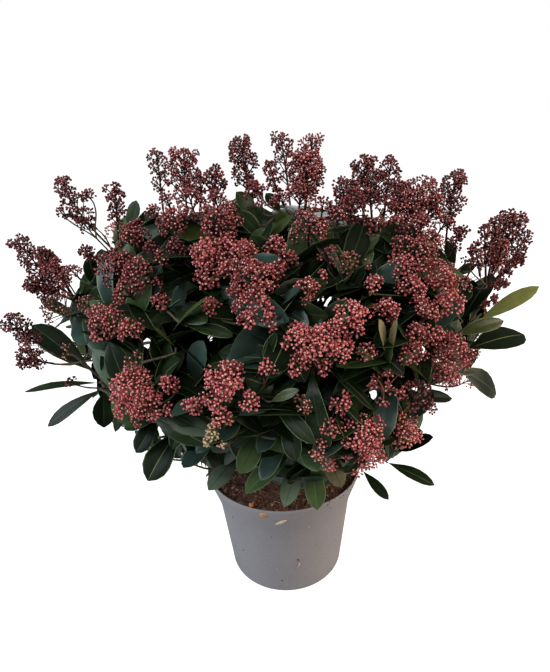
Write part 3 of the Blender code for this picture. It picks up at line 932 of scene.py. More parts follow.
# Leafy shoots without a head: a layer behind the heads, then the old wood
# inside, then the lowest ones that hang out over the pot.
def leafy_shoots(count, near_level, far_level, apart, low, high, inner):
    made = tries = 0
    mine = []
    while tries < 6000 and made < count:
        tries += 1
        z = rng.uniform(-0.98, 0.85)
        a = rng.uniform(0, 2 * math.pi)
        r = math.sqrt(max(0.0, 1 - z * z))
        d = unit(np.array([r * math.cos(a), r * math.sin(a), z * 0.7]))
        p = CENTRE + d * 0.18
        depth = rng.uniform(near_level, far_level)
        for _ in range(3):
            p = CENTRE + (p - CENTRE) / crown_level(p) * depth
        if not low <= p[2] <= high:
            continue
        if math.hypot(p[0], p[1]) < 0.03 and p[2] < 0.30:
            continue
        if min([np.linalg.norm(p - q) for q in placed + mine]) < apart:
            continue
        axis = head_axis(p, 0.10)
        if p[2] < 0.36:
            axis = unit(axis * [1, 1, 0.45 if p[2] > 0.285 else 0.10])
        shoots.append({
            "base": p, "axis": axis, "mass": mass_of(p), "hero": False,
            "clear": 0.0, "size": 0.0, "leaves": True, "bare": True, "inner": inner,
        })
        mine.append(p)
        made += 1
    placed.extend(mine)
    return made


print("leafy", leafy_shoots(125, 0.66, 0.88, 0.042, 0.262, 0.60, False),
      leafy_shoots(90, 0.34, 0.66, 0.046, 0.250, 0.56, True),
      leafy_shoots(48, 0.80, 1.04, 0.036, 0.232, 0.275, False))

# ------------------------------------------------------------------ twigs
twig_parts = []
limb_p, limb_d, limb_r = ATTACH_P, ATTACH_D, np.array([x[2] for x in attach])
for s in sorted(shoots, key=lambda x: float(np.linalg.norm(x["base"] - FOCUS))):
    base, axis = s["base"], s["axis"]
    away = base - limb_p
    dist = np.linalg.norm(away, axis=1)
    aim = away / (dist[:, None] + 1e-9)
    behind = 1 - aim @ axis
    turn = 1 - np.einsum("ij,ij->i", aim, limb_d)
    cost = dist * (1 + 1.1 * behind + 0.6 * turn) + np.where(dist < 0.024, 0.06, 0)
    k = int(np.argmin(cost))
    start = limb_p[k]
    n = max(8, int(dist[k] / 0.0095))
    line = bezier(start, unit(limb_d[k] * 0.6 + aim[k]), base, unit(axis + 0.6 * aim[k]), n)
    thick = 0.0019 if s["size"] > 0.012 or s.get("bare") else 0.0012
    radii = np.linspace(min(limb_r[k] * 0.92, thick * 1.25), min(limb_r[k] * 0.92, thick * 0.80), n)
    s["line"] = line
    seed = rng.uniform(0, 50)

    def relief(i, a, seed=seed):
        return np.array([
            1 + 0.10 * noise.noise(Vector((seed + math.cos(x), seed + math.sin(x), i * 0.8)))
            for x in a
        ]) * (1.12 if i % 4 == 1 else 1.0)

    v, f = tube_mesh(line, radii, 6, relief=relief)
    twig_parts.append((v, f, 0))
    if s["size"] > 0.010 or s.get("bare"):
        part = slice(int(n * 0.25), max(int(n * 0.25) + 1, int(n * 0.80)))
        tangents = np.gradient(line, axis=0)
        tangents /= np.linalg.norm(tangents, axis=1)[:, None]
        limb_p = np.concatenate([limb_p, line[part]])
        limb_d = np.concatenate([limb_d, tangents[part]])
        limb_r = np.concatenate([limb_r, radii[part]])

# ------------------------------------------------------------------ leaves
ROWS = np.array([0.0, 0.07, 0.18, 0.33, 0.49, 0.65, 0.80, 0.92, 1.0])
WIDTHS = np.array([0.060, 0.070, 0.31, 0.66, 0.91, 1.0, 0.88, 0.54, 0.060])
COLUMNS = np.array([-1.0, -0.940, -0.50, -0.034, 0.034, 0.50, 0.940, 1.0])
PLAIN_ROWS = np.array([0.0, 0.12, 0.36, 0.62, 0.84, 1.0])
PLAIN_WIDTHS = np.array([0.070, 0.120, 0.72, 1.0, 0.80, 0.060])
PLAIN_COLUMNS = np.array([-1.0, -0.50, 0.0, 0.50, 1.0])
leaves = []


def add_leaf(base, along, up, length, width, bend, fold, twist, wave, tone,
             mass, margin=0, rib=0, curl=0.10):
    leaves.append((base, along, up, length, width, bend, fold, twist, wave,
                   tone, mass, margin, rib, curl, False))


def leaf_mesh(rows, levels=ROWS, widths=WIDTHS, columns=COLUMNS):
    """Vertices (n, levels, columns, 3) of n leaves."""
    n = len(rows)
    base = np.array([r[0] for r in rows])
    along = np.array([unit(r[1]) for r in rows])
    up = np.array([r[2] for r in rows], float)
    up = up - along * np.einsum("ij,ij->i", up, along)[:, None]
    up /= np.linalg.norm(up, axis=1)[:, None] + 1e-9
    length, width, bend, fold, twist, wave = (
        np.array([r[k] for r in rows], float) for k in range(3, 9)
    )
    curl = np.array([r[13] for r in rows], float)
    side = np.cross(along, up)
    fine = np.linspace(0, 1, 25)
    phi = bend[:, None] * fine[None, :] ** 1.25
    step = (
        along[:, None, :] * np.cos(phi)[..., None]
        - up[:, None, :] * np.sin(phi)[..., None]
    )
    line = np.concatenate([
        np.zeros((n, 1, 3)), np.cumsum((step[:, 1:] + step[:, :-1]) / 2, axis=1) / 24
    ], axis=1) * length[:, None, None] + base[:, None, :]
    out = np.zeros((n, len(levels), len(columns), 3))
    for i, s in enumerate(levels):
        k = s * 24
        a = int(min(23, math.floor(k)))
        t = k - a
        mid = line[:, a] * (1 - t) + line[:, a + 1] * t
        ph = bend * s**1.25
        nrm = up * np.cos(ph)[:, None] + along * np.sin(ph)[:, None]
        tw = twist * s
        sd = side * np.cos(tw)[:, None] + nrm * np.sin(tw)[:, None]
        nr = nrm * np.cos(tw)[:, None] - side * np.sin(tw)[:, None]
        half = widths[i] * width / 2
        for j, c in enumerate(columns):
            rise = half * (np.tan(fold) * abs(c) - curl * 1.6 * c * c)
            ripple = (
                wave * width * c * abs(c) * widths[i]
                * np.sin(9.0 * s + 13.0 * wave + (1.3 if c > 0 else 0.0))
            )
            if abs(c) < 0.1:
                rise = rise - 0.012 * width * widths[i]
            out[:, i, j] = mid + sd * (half * c)[:, None] + nr * (rise + ripple)[:, None]
    return out


def leaf_points(leaf):
    """A few points of one leaf, for the tests of what it covers."""
    v = leaf_mesh([leaf])[0]
    return v[2:9:2][:, [0, 2, 4, 7]].reshape(-1, 3)


# Leaves seen in front: tip (across, down), foot, y of the tip and of the foot,
# width in the view, blade, pale margin, pale rib, roll of the blade
# MIDL, GREY and BLUE are partly painted light and painted sheen on the lit front leaves.
DEEP, DARKL, MIDL, BLUE, OLIVE, YELLOW, TAN, GREY = range(8)
FRONT_LEAVES = (
    # left edge
    ((27, 393), (102, 383), -0.05, -0.08, 12, DARKL, 1, 0, 0.2),
    ((50, 426), (104, 388), -0.11, -0.10, 15, DEEP, 0, 0, 0.1),
    ((104, 427), (104, 390), -0.17, -0.12, 22, DEEP, 0, 0, 0.0),
    ((34, 327), (94, 373), -0.02, -0.07, 26, DEEP, 0, 0, -0.2),
    ((42, 300), (86, 326), 0.00, -0.05, 14, DEEP, 0, 0, 0.0),
    ((95, 293), (152, 327), -0.14, -0.17, 12, DARKL, 1, 0, 0.3),
    ((100, 356), (114, 394), -0.20, -0.18, 14, BLUE, 0, 0, 0.1),
    ((116, 431), (128, 394), -0.19, -0.16, 11, DARKL, 0, 0, 0.3),
    # low ones, left of the pot and over it
    ((149, 480), (180, 428), -0.19, -0.15, 30, DEEP, 1, 1, 0.1),
    ((137, 452), (158, 418), -0.18, -0.16, 20, DEEP, 0, 0, 0.0),
    ((173, 448), (190, 411), -0.21, -0.19, 16, DEEP, 1, 0, 0.2),
    ((197, 453), (228, 420), -0.22, -0.19, 18, BLUE, 0, 0, 0.1),
    ((184, 468), (216, 436), -0.20, -0.15, 21, BLUE, 1, 0, 0.2),
    ((209, 490), (242, 450), -0.19, -0.13, 21, GREY, 0, 0, -0.2),
    ((247, 494), (292, 450), -0.21, -0.14, 23, MIDL, 1, 1, 0.1),
    ((285, 506), (300, 460), -0.20, -0.14, 20, GREY, 0, 0, 0.0),
    ((317, 509), (312, 460), -0.20, -0.14, 21, MIDL, 1, 1, 0.0),
    ((341, 487), (326, 450), -0.20, -0.15, 19, TAN, 1, 0, 0.1),
    ((239, 473), (262, 430), -0.25, -0.20, 23, MIDL, 1, 0, -0.4),
    ((262, 480), (288, 436), -0.22, -0.18, 20, BLUE, 1, 0, 0.2),
    ((388, 499), (362, 470), -0.18, -0.14, 11, DARKL, 1, 0, 0.2),
    ((433, 485), (386, 462), -0.17, -0.14, 15, DARKL, 1, 1, -0.1),
    ((433, 438), (396, 452), -0.21, -0.18, 18, DEEP, 0, 0, 0.0),
    # right edge
    ((450, 399), (396, 397), -0.13, -0.16, 16, DEEP, 0, 0, 0.0),
    ((494, 393), (456, 367), -0.08, -0.11, 27, DEEP, 0, 0, 0.30),
    ((522, 336), (466, 350), -0.02, -0.06, 33, DEEP, 0, 1, 0.0),
    ((537, 288), (474, 324), 0.00, -0.03, 16, YELLOW, 0, 1, 0.2),
    ((502, 322), (450, 337), -0.05, -0.08, 15, OLIVE, 1, 0, 0.2),
    ((493, 276), (462, 322), -0.04, -0.07, 26, DEEP, 0, 1, -0.3),
    ((473, 373), (406, 366), -0.12, -0.16, 14, DARKL, 1, 0, 0.2),
    ((447, 241), (454, 272), -0.09, -0.10, 12, DEEP, 0, 0, 0.1),
    ((475, 265), (450, 277), -0.09, -0.10, 10, DARKL, 0, 0, 0.3),
    # upright ones between the top heads
    ((281, 211), (283, 241), -0.15, -0.14, 14, OLIVE, 0, 0, 0.1),
    ((236, 193), (262, 226), -0.13, -0.13, 20, DARKL, 0, 0, 0.3),
    ((240, 212), (266, 242), -0.15, -0.15, 16, DARKL, 1, 0, -0.2),
    ((262, 229), (246, 249), -0.16, -0.16, 9, MIDL, 1, 0, 0.3),
    ((266, 194), (282, 214), -0.09, -0.10, 12, DEEP, 0, 0, 0.0),
    ((330, 205), (344, 234), -0.10, -0.11, 13, DARKL, 0, 0, 0.1),
    ((380, 236), (352, 260), -0.17, -0.15, 17, OLIVE, 0, 0, 0.2),
    ((330, 241), (350, 293), -0.19, -0.19, 13, DARKL, 1, 0, 0.3),
    ((366, 268), (350, 296), -0.20, -0.19, 14, DEEP, 0, 0, -0.2),
    ((364, 222), (350, 248), -0.12, -0.12, 15, DARKL, 0, 0, 0.2),
    ((136, 201), (127, 232), -0.08, -0.09, 13, GREY, 0, 0, 0.5),
    ((150, 210), (160, 241), -0.06, -0.08, 15, DARKL, 0, 0, -0.2),
    ((88, 258), (98, 292), -0.08, -0.09, 17, DEEP, 0, 0, 0.1),
    ((170, 247), (196, 270), -0.15, -0.15, 14, DEEP, 0, 0, 0.1),
    ((176, 300), (192, 274), -0.17, -0.17, 15, BLUE, 0, 0, 0.1),
    # middle
    ((301, 289), (274, 315), -0.25, -0.21, 18, BLUE, 0, 0, 0.1),
    ((208, 299), (168, 338), -0.25, -0.22, 12, OLIVE, 1, 0, -0.6),
    ((154, 329), (177, 349), -0.25, -0.23, 12, OLIVE, 1, 0, 0.4),
    ((232, 337), (186, 326), -0.25, -0.23, 15, DARKL, 1, 0, 0.0),
    ((184, 282), (172, 327), -0.20, -0.20, 15, BLUE, 0, 0, 0.1),
    ((204, 342), (190, 387), -0.24, -0.21, 25, BLUE, 0, 0, 0.2),
    ((152, 337), (174, 380), -0.22, -0.20, 24, DEEP, 1, 1, -0.2),
    ((277, 334), (262, 368), -0.26, -0.24, 13, DEEP, 1, 0, 0.2),
    ((232, 296), (220, 330), -0.20, -0.18, 14, DARKL, 0, 0, 0.2),
    ((152, 322), (190, 312), -0.22, -0.19, 12, DARKL, 0, 0, -0.2),
    ((378, 320), (384, 353), -0.266, -0.246, 12, TAN, 1, 1, 0.4),
    ((398, 319), (392, 355), -0.262, -0.242, 9, TAN, 0, 1, -0.3),
    ((393, 346), (383, 374), -0.25, -0.23, 15, MIDL, 1, 1, 0.0),
    ((412, 356), (384, 374), -0.25, -0.23, 12, MIDL, 1, 0, 0.3),
    ((358, 350), (382, 376), -0.26, -0.23, 12, MIDL, 1, 0, -0.4),
    # lower middle
    ((313, 443), (268, 396), -0.28, -0.24, 17, DARKL, 1, 0, 0.2),
    ((299, 390), (270, 402), -0.285, -0.27, 10, OLIVE, 1, 0, 0.5),
    ((334, 436), (290, 408), -0.26, -0.22, 18, DARKL, 1, 0, -0.2),
    ((296, 460), (286, 412), -0.25, -0.21, 20, DARKL, 1, 0, 0.3),
    ((258, 452), (282, 418), -0.24, -0.20, 18, BLUE, 1, 0, -0.2),
    ((226, 438), (262, 422), -0.26, -0.22, 13, OLIVE, 1, 0, 0.3),
    ((238, 437), (298, 418), -0.25, -0.20, 14, DARKL, 1, 0, 0.0),
    ((396, 402), (388, 442), -0.22, -0.20, 16, MIDL, 1, 0, 0.1),
    ((182, 381), (176, 410), -0.24, -0.21, 16, DARKL, 0, 0, 0.0),
    ((318, 471), (300, 434), -0.24, -0.19, 20, MIDL, 1, 0, 0.2),
)
foot_points = []
for tip, foot, y_tip, y_foot, w, tone, margin, rib, roll in FRONT_LEAVES:
    a = at_depth(foot[0], foot[1], y_foot)
    b = at_depth(tip[0], tip[1], y_tip)
    span = np.linalg.norm(b - a)
    mid_dist = ((a + b) / 2 - EYE) @ AHEAD
    width = w * mid_dist / FOCAL
    direction = unit(b - a)
    toward = unit(EYE - (a + b) / 2)
    up = unit(toward * 0.75 + np.array([0, 0, 0.75]))
    up = unit(up + roll * np.cross(direction, up))
    up = unit(up - direction * (up @ direction))
    bend = rng.uniform(0.25, 0.55)
    # the chord is what shows, so the blade starts above it and bows over
    start = unit(direction * math.cos(bend * 0.5) + up * math.sin(bend * 0.5))
    start_up = unit(up * math.cos(bend * 0.5) - direction * math.sin(bend * 0.5))
    add_leaf(a, start, start_up, span * 1.03, width, bend, rng.uniform(0.10, 0.26),
             rng.uniform(-0.2, 0.2), rng.uniform(0.010, 0.045), tone, mass_of(a),
             margin, rib)
    foot_points.append((a, direction))
    for k in np.linspace(0.1, 1.0, 12):
        p = a * (1 - k) + b * k
        u, v, z = shows_at(p)
        r = w / 2 * math.sin(math.pi * min(0.95, 0.15 + 0.8 * k)) * 0.9
        hit = np.hypot(uu - u, vv - v) < r
        near[hit] = np.minimum(near[hit], z - 0.006)

# Short twigs that carry them, from the nearest shoot.
line_points = np.concatenate([s["line"][: -1] for s in shoots] + [ATTACH_P])
for a, direction in foot_points:
    d = np.linalg.norm(line_points - a, axis=1)
    behind = (line_points - a) @ direction
    k = int(np.argmin(d + np.where(behind > 0, 0.03, 0.0)))
    q = line_points[k]
    n = max(5, int(d[k] / 0.008))
    line = bezier(q, unit(a - q), a + direction * 0.002, direction, n)
    v, f = tube_mesh(line, np.linspace(0.0016, 0.0011, n), 6)
    twig_parts.append((v, f, 0))

ball_p = np.array([b[0] for b in balls])
ball_r = np.array([b[1] for b in balls])


def blade_for(height, outward):
    # Below 0.36 m more of the lighter greens, which are partly painted light and sheen.
    if height < 0.36:
        table = ((DEEP, 0.28), (DARKL, 0.37), (MIDL, 0.17), (GREY, 0.06),
                 (BLUE, 0.08), (OLIVE, 0.03), (TAN, 0.01))
    else:
        table = ((DEEP, 0.37), (DARKL, 0.39), (MIDL, 0.10), (BLUE, 0.09),
                 (OLIVE, 0.03), (GREY, 0.02))
    return pick(table)


kept = dropped = 0
for s in shoots:
    if not s["leaves"]:
        continue
    line = s["line"]
    seg = np.linalg.norm(np.diff(line, axis=0), axis=1)
    run = np.concatenate([[0], np.cumsum(seg)])
    total = run[-1]
    spray = blade_for(s["base"][2], 0)
    count = int(rng.integers(8, 12)) if not s.get("bare") else int(rng.integers(9, 13))
    turn = rng.uniform(0, 2 * math.pi)
    back = min(s["clear"], total * 0.4) + rng.uniform(0.001, 0.005)
    room = max(0.004, min(total - 0.004 - back, 0.052))
    for i in range(count):
        at = total - back - room * ((i + rng.uniform(0.0, 0.8)) / count) ** 1.2
        k = min(len(line) - 2, int(np.searchsorted(run, at)) - 1)
        k = max(0, k)
        t = (at - run[k]) / max(1e-6, seg[k])
        p = line[k] * (1 - t) + line[k + 1] * t
        along = unit(line[k + 1] - line[k])
        side, other = across(along)
        for attempt in range(4):
            a = turn + 2.39996 * i + rng.normal(0, 0.25) + attempt * 0.9
            out = side * math.cos(a) + other * math.sin(a)
            lean = math.radians(rng.uniform(44, 62) + 3.2 * i)
            d = unit(along * math.cos(lean) + out * math.sin(lean) + np.array([0, 0, 0.05]))
            up = unit(along * math.sin(lean) - out * math.cos(lean) + 0.35 * np.array([0, 0, 1.0]))
            length = rng.uniform(0.072, 0.104) * (0.92 if i < 2 else 1.0)
            width = length * rng.uniform(0.29, 0.37)
            bend = rng.uniform(0.15, 0.75) + 0.04 * i + (0.30 if p[2] < 0.275 else 0.0)
            tone = spray if rng.random() < 0.55 else blade_for(p[2], 0)
            leaf = (p, d, up, length, width, bend, rng.uniform(0.06, 0.26),
                    rng.normal(0, 0.28), rng.uniform(0.008, 0.045), tone, s["mass"],
                    int(rng.random() < 0.22), int(rng.random() < 0.22),
                    rng.uniform(0.02, 0.16), bool(s.get("inner")))
            pts = leaf_points(leaf)
            r = np.hypot(pts[:, 0], pts[:, 1])
            if (pts[:, 2] < 0.200).any() or ((r < 0.128) & (pts[:, 2] < 0.225)).any():
                continue
            if (crown_level(pts) > (0.99 if s["base"][2] > 0.45 else 1.06 if s["base"][2] > 0.30 else 1.20)).sum() > 1:
                continue
            d_ball = np.linalg.norm(pts[:, None, :] - ball_p[None], axis=2)
            if (d_ball < ball_r[None] * 0.80).mean() > 0.006:
                if (d_ball < ball_r[None] * 0.80).any(axis=1).sum() > 2:
                    continue
            if hides_front(pts):
                continue
            leaves.append(leaf)
            kept += 1
            break
        else:
            dropped += 1
print("leaves", len(leaves), "kept", kept, "dropped", dropped, "shoots", len(shoots))

# Where the front view would still look right through the crown, one more old
# leaf grows from the nearest limb inside, except where the sky shows there.
covered = np.zeros((VIEW_H, VIEW_W), bool)
for u, v, a, b, dist, full in hero_discs:
    if full >= 0.7:
        k = 0.85 if full >= 0.85 else 0.6
        covered |= ((uu - u) / (a * k)) ** 2 + ((vv - v) / (b * k)) ** 2 < 1


def cover(points):
    u, v, _ = shows_at(points)
    for du in (-1, 0, 1):
        for dv in (-1, 0, 1):
            iu = np.clip((u + du).astype(int), 0, VIEW_W - 1)
            iv = np.clip((v + dv).astype(int), 0, VIEW_H - 1)
            covered[iv, iu] = True


def dense_points(group):
    grid = leaf_mesh(group)
    mid = (grid[:, 1:, 1:] + grid[:, :-1, :-1]) / 2
    more = (grid[:, 1:, 1:] * 0.75 + grid[:, :-1, :-1] * 0.25)
    return np.concatenate([x[:, 1:].reshape(-1, 3) for x in (grid, mid, more)])


cover(dense_points(leaves))
cells_u, cells_v = np.meshgrid(np.arange(40, 520, 4), np.arange(180, 490, 4))
t = np.linspace(0.55, 1.15, 49)
cell_rays = (
    AHEAD + RIGHT * (cells_u[..., None] - VIEW_W / 2) / FOCAL
    - UP * (cells_v[..., None] - VIEW_H / 2) / FOCAL
)
cell_points = EYE + cell_rays[:, :, None, :] * t[:, None]
cell_levels = crown_level(cell_points)
cell_ok = (
    (cell_levels < 0.80) & (cell_points[..., 2] > 0.235)
    & ((np.hypot(cell_points[..., 0], cell_points[..., 1]) > 0.04) | (cell_points[..., 2] > 0.27))
)
inside = (cell_levels.min(axis=2) < 0.74) & cell_ok.any(axis=2) & ~in_open(cells_u, cells_v, 1.0)
limb_tips = np.concatenate([x["line"][:-1] for x in shoots] + [ATTACH_P])
filled = 0
for _ in range(900):
    bare = inside & ~covered[cells_v, cells_u]
    if bare.sum() < 3 or filled >= 420:
        break
    rows, cols = np.nonzero(bare)
    k = int(rng.integers(len(rows)))
    where = np.nonzero(cell_ok[rows[k], cols[k]])[0]
    p = cell_points[rows[k], cols[k], where[int(rng.integers(len(where) // 3, len(where)))]]
    toward = unit(EYE - p)
    d = unit(unit(p - FOCUS) + rng.normal(0, 0.45, 3))
    d = unit(d - toward * (d @ toward) * 0.6)
    up = unit(toward * 0.8 + np.array([0, 0, 0.5]) + rng.normal(0, 0.25, 3))
    length = rng.uniform(0.078, 0.104)
    foot = p - d * length * 0.52
    bend = rng.uniform(0.2, 0.6)
    leaf = (foot, unit(d * math.cos(bend / 2) + up * math.sin(bend / 2)), up, length,
            length * rng.uniform(0.30, 0.37), bend, rng.uniform(0.06, 0.22),
            rng.normal(0, 0.2), rng.uniform(0.008, 0.04),
            blade_for(p[2], 0), mass_of(p), 0, 0, rng.uniform(0.02, 0.14), False)
    pts = leaf_points(leaf)
    r = np.hypot(pts[:, 0], pts[:, 1])
    if (pts[:, 2] < 0.200).any() or ((r < 0.128) & (pts[:, 2] < 0.225)).any():
        continue
    if hides_front(pts) or (crown_level(pts) > 1.0).any():
        continue
    leaves.append(leaf)
    cover(dense_points([leaf]))
    gap = np.linalg.norm(limb_tips - foot, axis=1)
    gap += np.where((limb_tips - foot) @ leaf[1] > 0, 0.03, 0.0)
    q = limb_tips[int(np.argmin(gap))]
    n = max(5, int(np.linalg.norm(q - foot) / 0.010))
    line = bezier(q, unit(foot - q), foot + leaf[1] * 0.002, leaf[1], n)
    v, f = tube_mesh(line, np.linspace(0.0014, 0.0010, n), 5)
    twig_parts.append((v, f, 0))
    filled += 1
print("filled", filled, "left bare", int(bare.sum()))

grid = np.arange(len(ROWS) * len(COLUMNS)).reshape(len(ROWS), len(COLUMNS))
quads, strip = [], []
for i in range(len(ROWS) - 1):
    for j in range(len(COLUMNS) - 1):
        quads.append((grid[i, j], grid[i, j + 1], grid[i + 1, j + 1], grid[i + 1, j]))
        if i == 0:
            strip.append(3)
        elif j in (0, len(COLUMNS) - 2):
            strip.append(1)
        elif j == 3:
            strip.append(2)
        else:
            strip.append(0)
quads = np.array(quads)
strip = np.array(strip)
grid = np.arange(len(PLAIN_ROWS) * len(PLAIN_COLUMNS)).reshape(len(PLAIN_ROWS), -1)
plain_quads = np.array([
    (grid[i, j], grid[i, j + 1], grid[i + 1, j + 1], grid[i + 1, j])
    for i in range(len(PLAIN_ROWS) - 1) for j in range(len(PLAIN_COLUMNS) - 1)
])
LEAF_MATS = BLADES + MARGINS + RIBS


def tier(mass):
    name = mass.split("_")[1]
    return {"skirt": "skirt", "side": "side"}.get(name, "upper")


def leaf_object(name, everything):
    group = [g for g in everything if not g[14]]
    v = leaf_mesh(group)
    n = len(group)
    per = len(ROWS) * len(COLUMNS)
    faces = (quads[None] + (np.arange(n) * per)[:, None, None]).reshape(-1, 4)
    tone = np.array([g[9] for g in group])[:, None]
    margin = np.array([g[11] for g in group])[:, None] + len(BLADES)
    rib = np.array([g[12] for g in group])[:, None] + len(BLADES) + len(MARGINS)
    stalk = np.full((n, 1), len(LEAF_MATS) - 1)
    s = strip[None]
    index = np.where(s == 0, tone, np.where(s == 1, margin, np.where(s == 2, rib, stalk)))
    v, index = v.reshape(-1, 3), index.ravel()
    plain = [g for g in everything if g[14]]
    if plain:
        w = leaf_mesh(plain, PLAIN_ROWS, PLAIN_WIDTHS, PLAIN_COLUMNS)
        n = len(plain)
        per = len(PLAIN_ROWS) * len(PLAIN_COLUMNS)
        more = (plain_quads[None] + (np.arange(n) * per)[:, None, None]).reshape(-1, 4)
        tone = np.repeat(np.array([g[9] for g in plain]), len(plain_quads))
        faces = np.concatenate([faces, more + len(v)])
        v = np.concatenate([v, w.reshape(-1, 3)])
        index = np.concatenate([index, tone])
    return make_object(name, v, faces, LEAF_MATS, index)


pieces = []
for t in ("skirt", "side", "upper"):
    group = [x for x in leaves if tier(x[10]) == t]
    obj = leaf_object("leaves_" + t, group)
    pieces.append((obj, t))

# ------------------------------------------------------------------ buds
BUD_LONG, BUD_WIDE = 0.0034, 0.0029


def bud_shape(sides):
    """One bud: a pointed foot, a round body and a small pale tip."""
    points = [(0.0, 0.0, -0.30)]
    for level, wide in ((0.42, 1.00), (0.78, 0.70)):
        for k in range(sides):
            a = 2 * math.pi * (k + 0.5 * (level > 0.5)) / sides
            points.append((wide * math.cos(a), wide * math.sin(a), level - 0.30))
    points.append((0.0, 0.0, 0.70))
    faces, part = [], []
    for k in range(sides):
        j = (k + 1) % sides
        a, b, c, d = 1 + k, 1 + j, 1 + sides + k, 1 + sides + j
        faces += [(0, b, a), (a, b, c), (b, d, c), (2 * sides + 1, c, d)]
        part += [0, 0, 0, 1]
    points = np.array(points) * [BUD_WIDE / 2, BUD_WIDE / 2, BUD_LONG]
    return points, np.array(faces), np.array(part)


def frames(d):
    d = np.asarray(d, float)
    helper = np.where(np.abs(d[:, 2:3]) < 0.9, [[0.0, 0.0, 1.0]], [[1.0, 0.0, 0.0]])
    x = np.cross(helper, d)
    x /= np.linalg.norm(x, axis=1)[:, None]
    return x, np.cross(d, x), d


def bud_object(name, select, sides):
    unit_bud, bud_faces, bud_part = bud_shape(sides)
    pos = np.array(buds["pos"])[select]
    x, y, z = frames(np.array(buds["dir"])[select])
    size = np.array(buds["size"])[select][:, None, None]
    v = (
        x[:, None] * unit_bud[None, :, 0:1] + y[:, None] * unit_bud[None, :, 1:2]
        + z[:, None] * unit_bud[None, :, 2:3]
    ) * size + pos[:, None]
    n = len(pos)
    faces = (bud_faces[None] + (np.arange(n) * len(unit_bud))[:, None, None]).reshape(-1, 3)
    body = np.array(buds["body"])[select][:, None]
    tip = np.array(buds["tip"])[select][:, None] + len(BODY)
    index = np.where(bud_part[None] == 0, body, tip)
    return make_object(name, v.reshape(-1, 3), faces, BODY + TIPS, index.ravel())


def stalk_object(name, select):
    a = np.array(stalks["a"])[select]
    b = np.array(stalks["b"])[select]
    r = np.array(stalks["r"])[select][:, None]
    d = b - a
    d /= np.linalg.norm(d, axis=1)[:, None] + 1e-12
    x, y, _ = frames(d)
    n = len(a)
    rings = []
    for end, k in ((a, 1.0), (b, 0.85)):
        for j in range(3):
            t = 2 * math.pi * j / 3
            rings.append(end + (x * math.cos(t) + y * math.sin(t)) * r * k)
    v = np.stack(rings, 1)
    prism = np.array([
        (0, 1, 4), (0, 4, 3), (1, 2, 5), (1, 5, 4), (2, 0, 3), (2, 3, 5),
    ])
    faces = (prism[None] + (np.arange(n) * 6)[:, None, None]).reshape(-1, 3)
    index = np.repeat(np.array(stalks["mat"])[select], 6)
    return make_object(name, v.reshape(-1, 3), faces, STALKS, index)


bud_tier = np.array([tier(m) for m in buds["mass"]])
bud_front = np.array(buds["front"])
bud_pieces = []
for t in ("skirt", "side", "upper"):
    for face, sides in (("fine", 5), ("plain", 4)):
        which = np.nonzero((bud_tier == t) & (bud_front == (face == "fine")))[0]
        if not len(which):
            continue
        halves = max(1, math.ceil(len(which) * sides * 4 / 180000))
        order = which[np.argsort(np.array(buds["pos"])[which][:, 0], kind="stable")]
        for h, part in enumerate(np.array_split(order, halves)):
            obj = bud_object("buds_%s_%s_%d" % (t, face, h + 1), part, sides)
            bud_pieces.append((obj, t))
stalk_tier = np.array([tier(m) for m in stalks["mass"]])
stalk_pieces = []
for t in ("skirt", "side", "upper"):
    which = np.nonzero(stalk_tier == t)[0]
    if len(which):
        stalk_pieces.append((stalk_object("bud_stalks_" + t, which), t))
print("buds", len(buds["pos"]), "stalks", len(stalks["a"]))

# ------------------------------------------------------------------ limbs
v, f, m = join(bough_parts)
bough_obj = make_object("boughs_bark", v, f, [BARK_OLD], m)
v, f, m = join(twig_parts)
twig_obj = make_object("twigs_bark", v, f, [BARK_YOUNG], m)


def stem_mesh():
    """Short stem: root flare, waist and swollen fork, with bark ridges."""
    lo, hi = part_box("stem_base")
    foot, top = float(lo[2]), float(hi[2])
    rings, sides = 44, 48
    path, radii = [], []
    for i in range(rings):
        t = i / (rings - 1)
        ease = t * t * (3 - 2 * t)
        path.append((0.0040 * ease, -0.0030 * ease, foot + (top - foot) * t))
    verts = []
    for i, p in enumerate(path):
        t = i / (rings - 1)
        flare = math.exp(-t / 0.16)
        swell = 1 / (1 + math.exp(-(t - 0.62) / 0.07))
        for j in range(sides):
            a = 2 * math.pi * j / sides
            r = 0.0105 * (1 - 0.10 * t) + 0.0065 * flare + 0.0080 * swell
            r *= 1 + 0.16 * flare * math.cos(5 * a + 0.7)
            if t > 0.80:
                r *= math.sqrt(max(0.0, 1 - ((t - 0.80) / 0.205) ** 2))
            ridge = noise.noise(Vector((3.2 * math.cos(a), 3.2 * math.sin(a), 2.2 * t)))
            fine = noise.noise(Vector((11 * math.cos(a), 11 * math.sin(a), 9 * t)))
            r *= 1 + 0.10 * ridge + 0.05 * fine
            verts.append((p[0] + r * math.cos(a), p[1] + r * math.sin(a), p[2]))
    verts += [path[0], path[-1]]
    faces = []
    for i in range(rings - 1):
        for j in range(sides):
            a, b = i * sides + j, i * sides + (j + 1) % sides
            faces += [(a, b, b + sides), (a, b + sides, a + sides)]
    n = rings * sides
    for j in range(sides):
        k = (j + 1) % sides
        faces.append((n, k, j))
        faces.append((n + 1, n - sides + j, n - sides + k))
    return np.array(verts), np.array(faces)


v, f = stem_mesh()
stem_obj = make_object("stem_bark", v, f, [BARK_OLD])

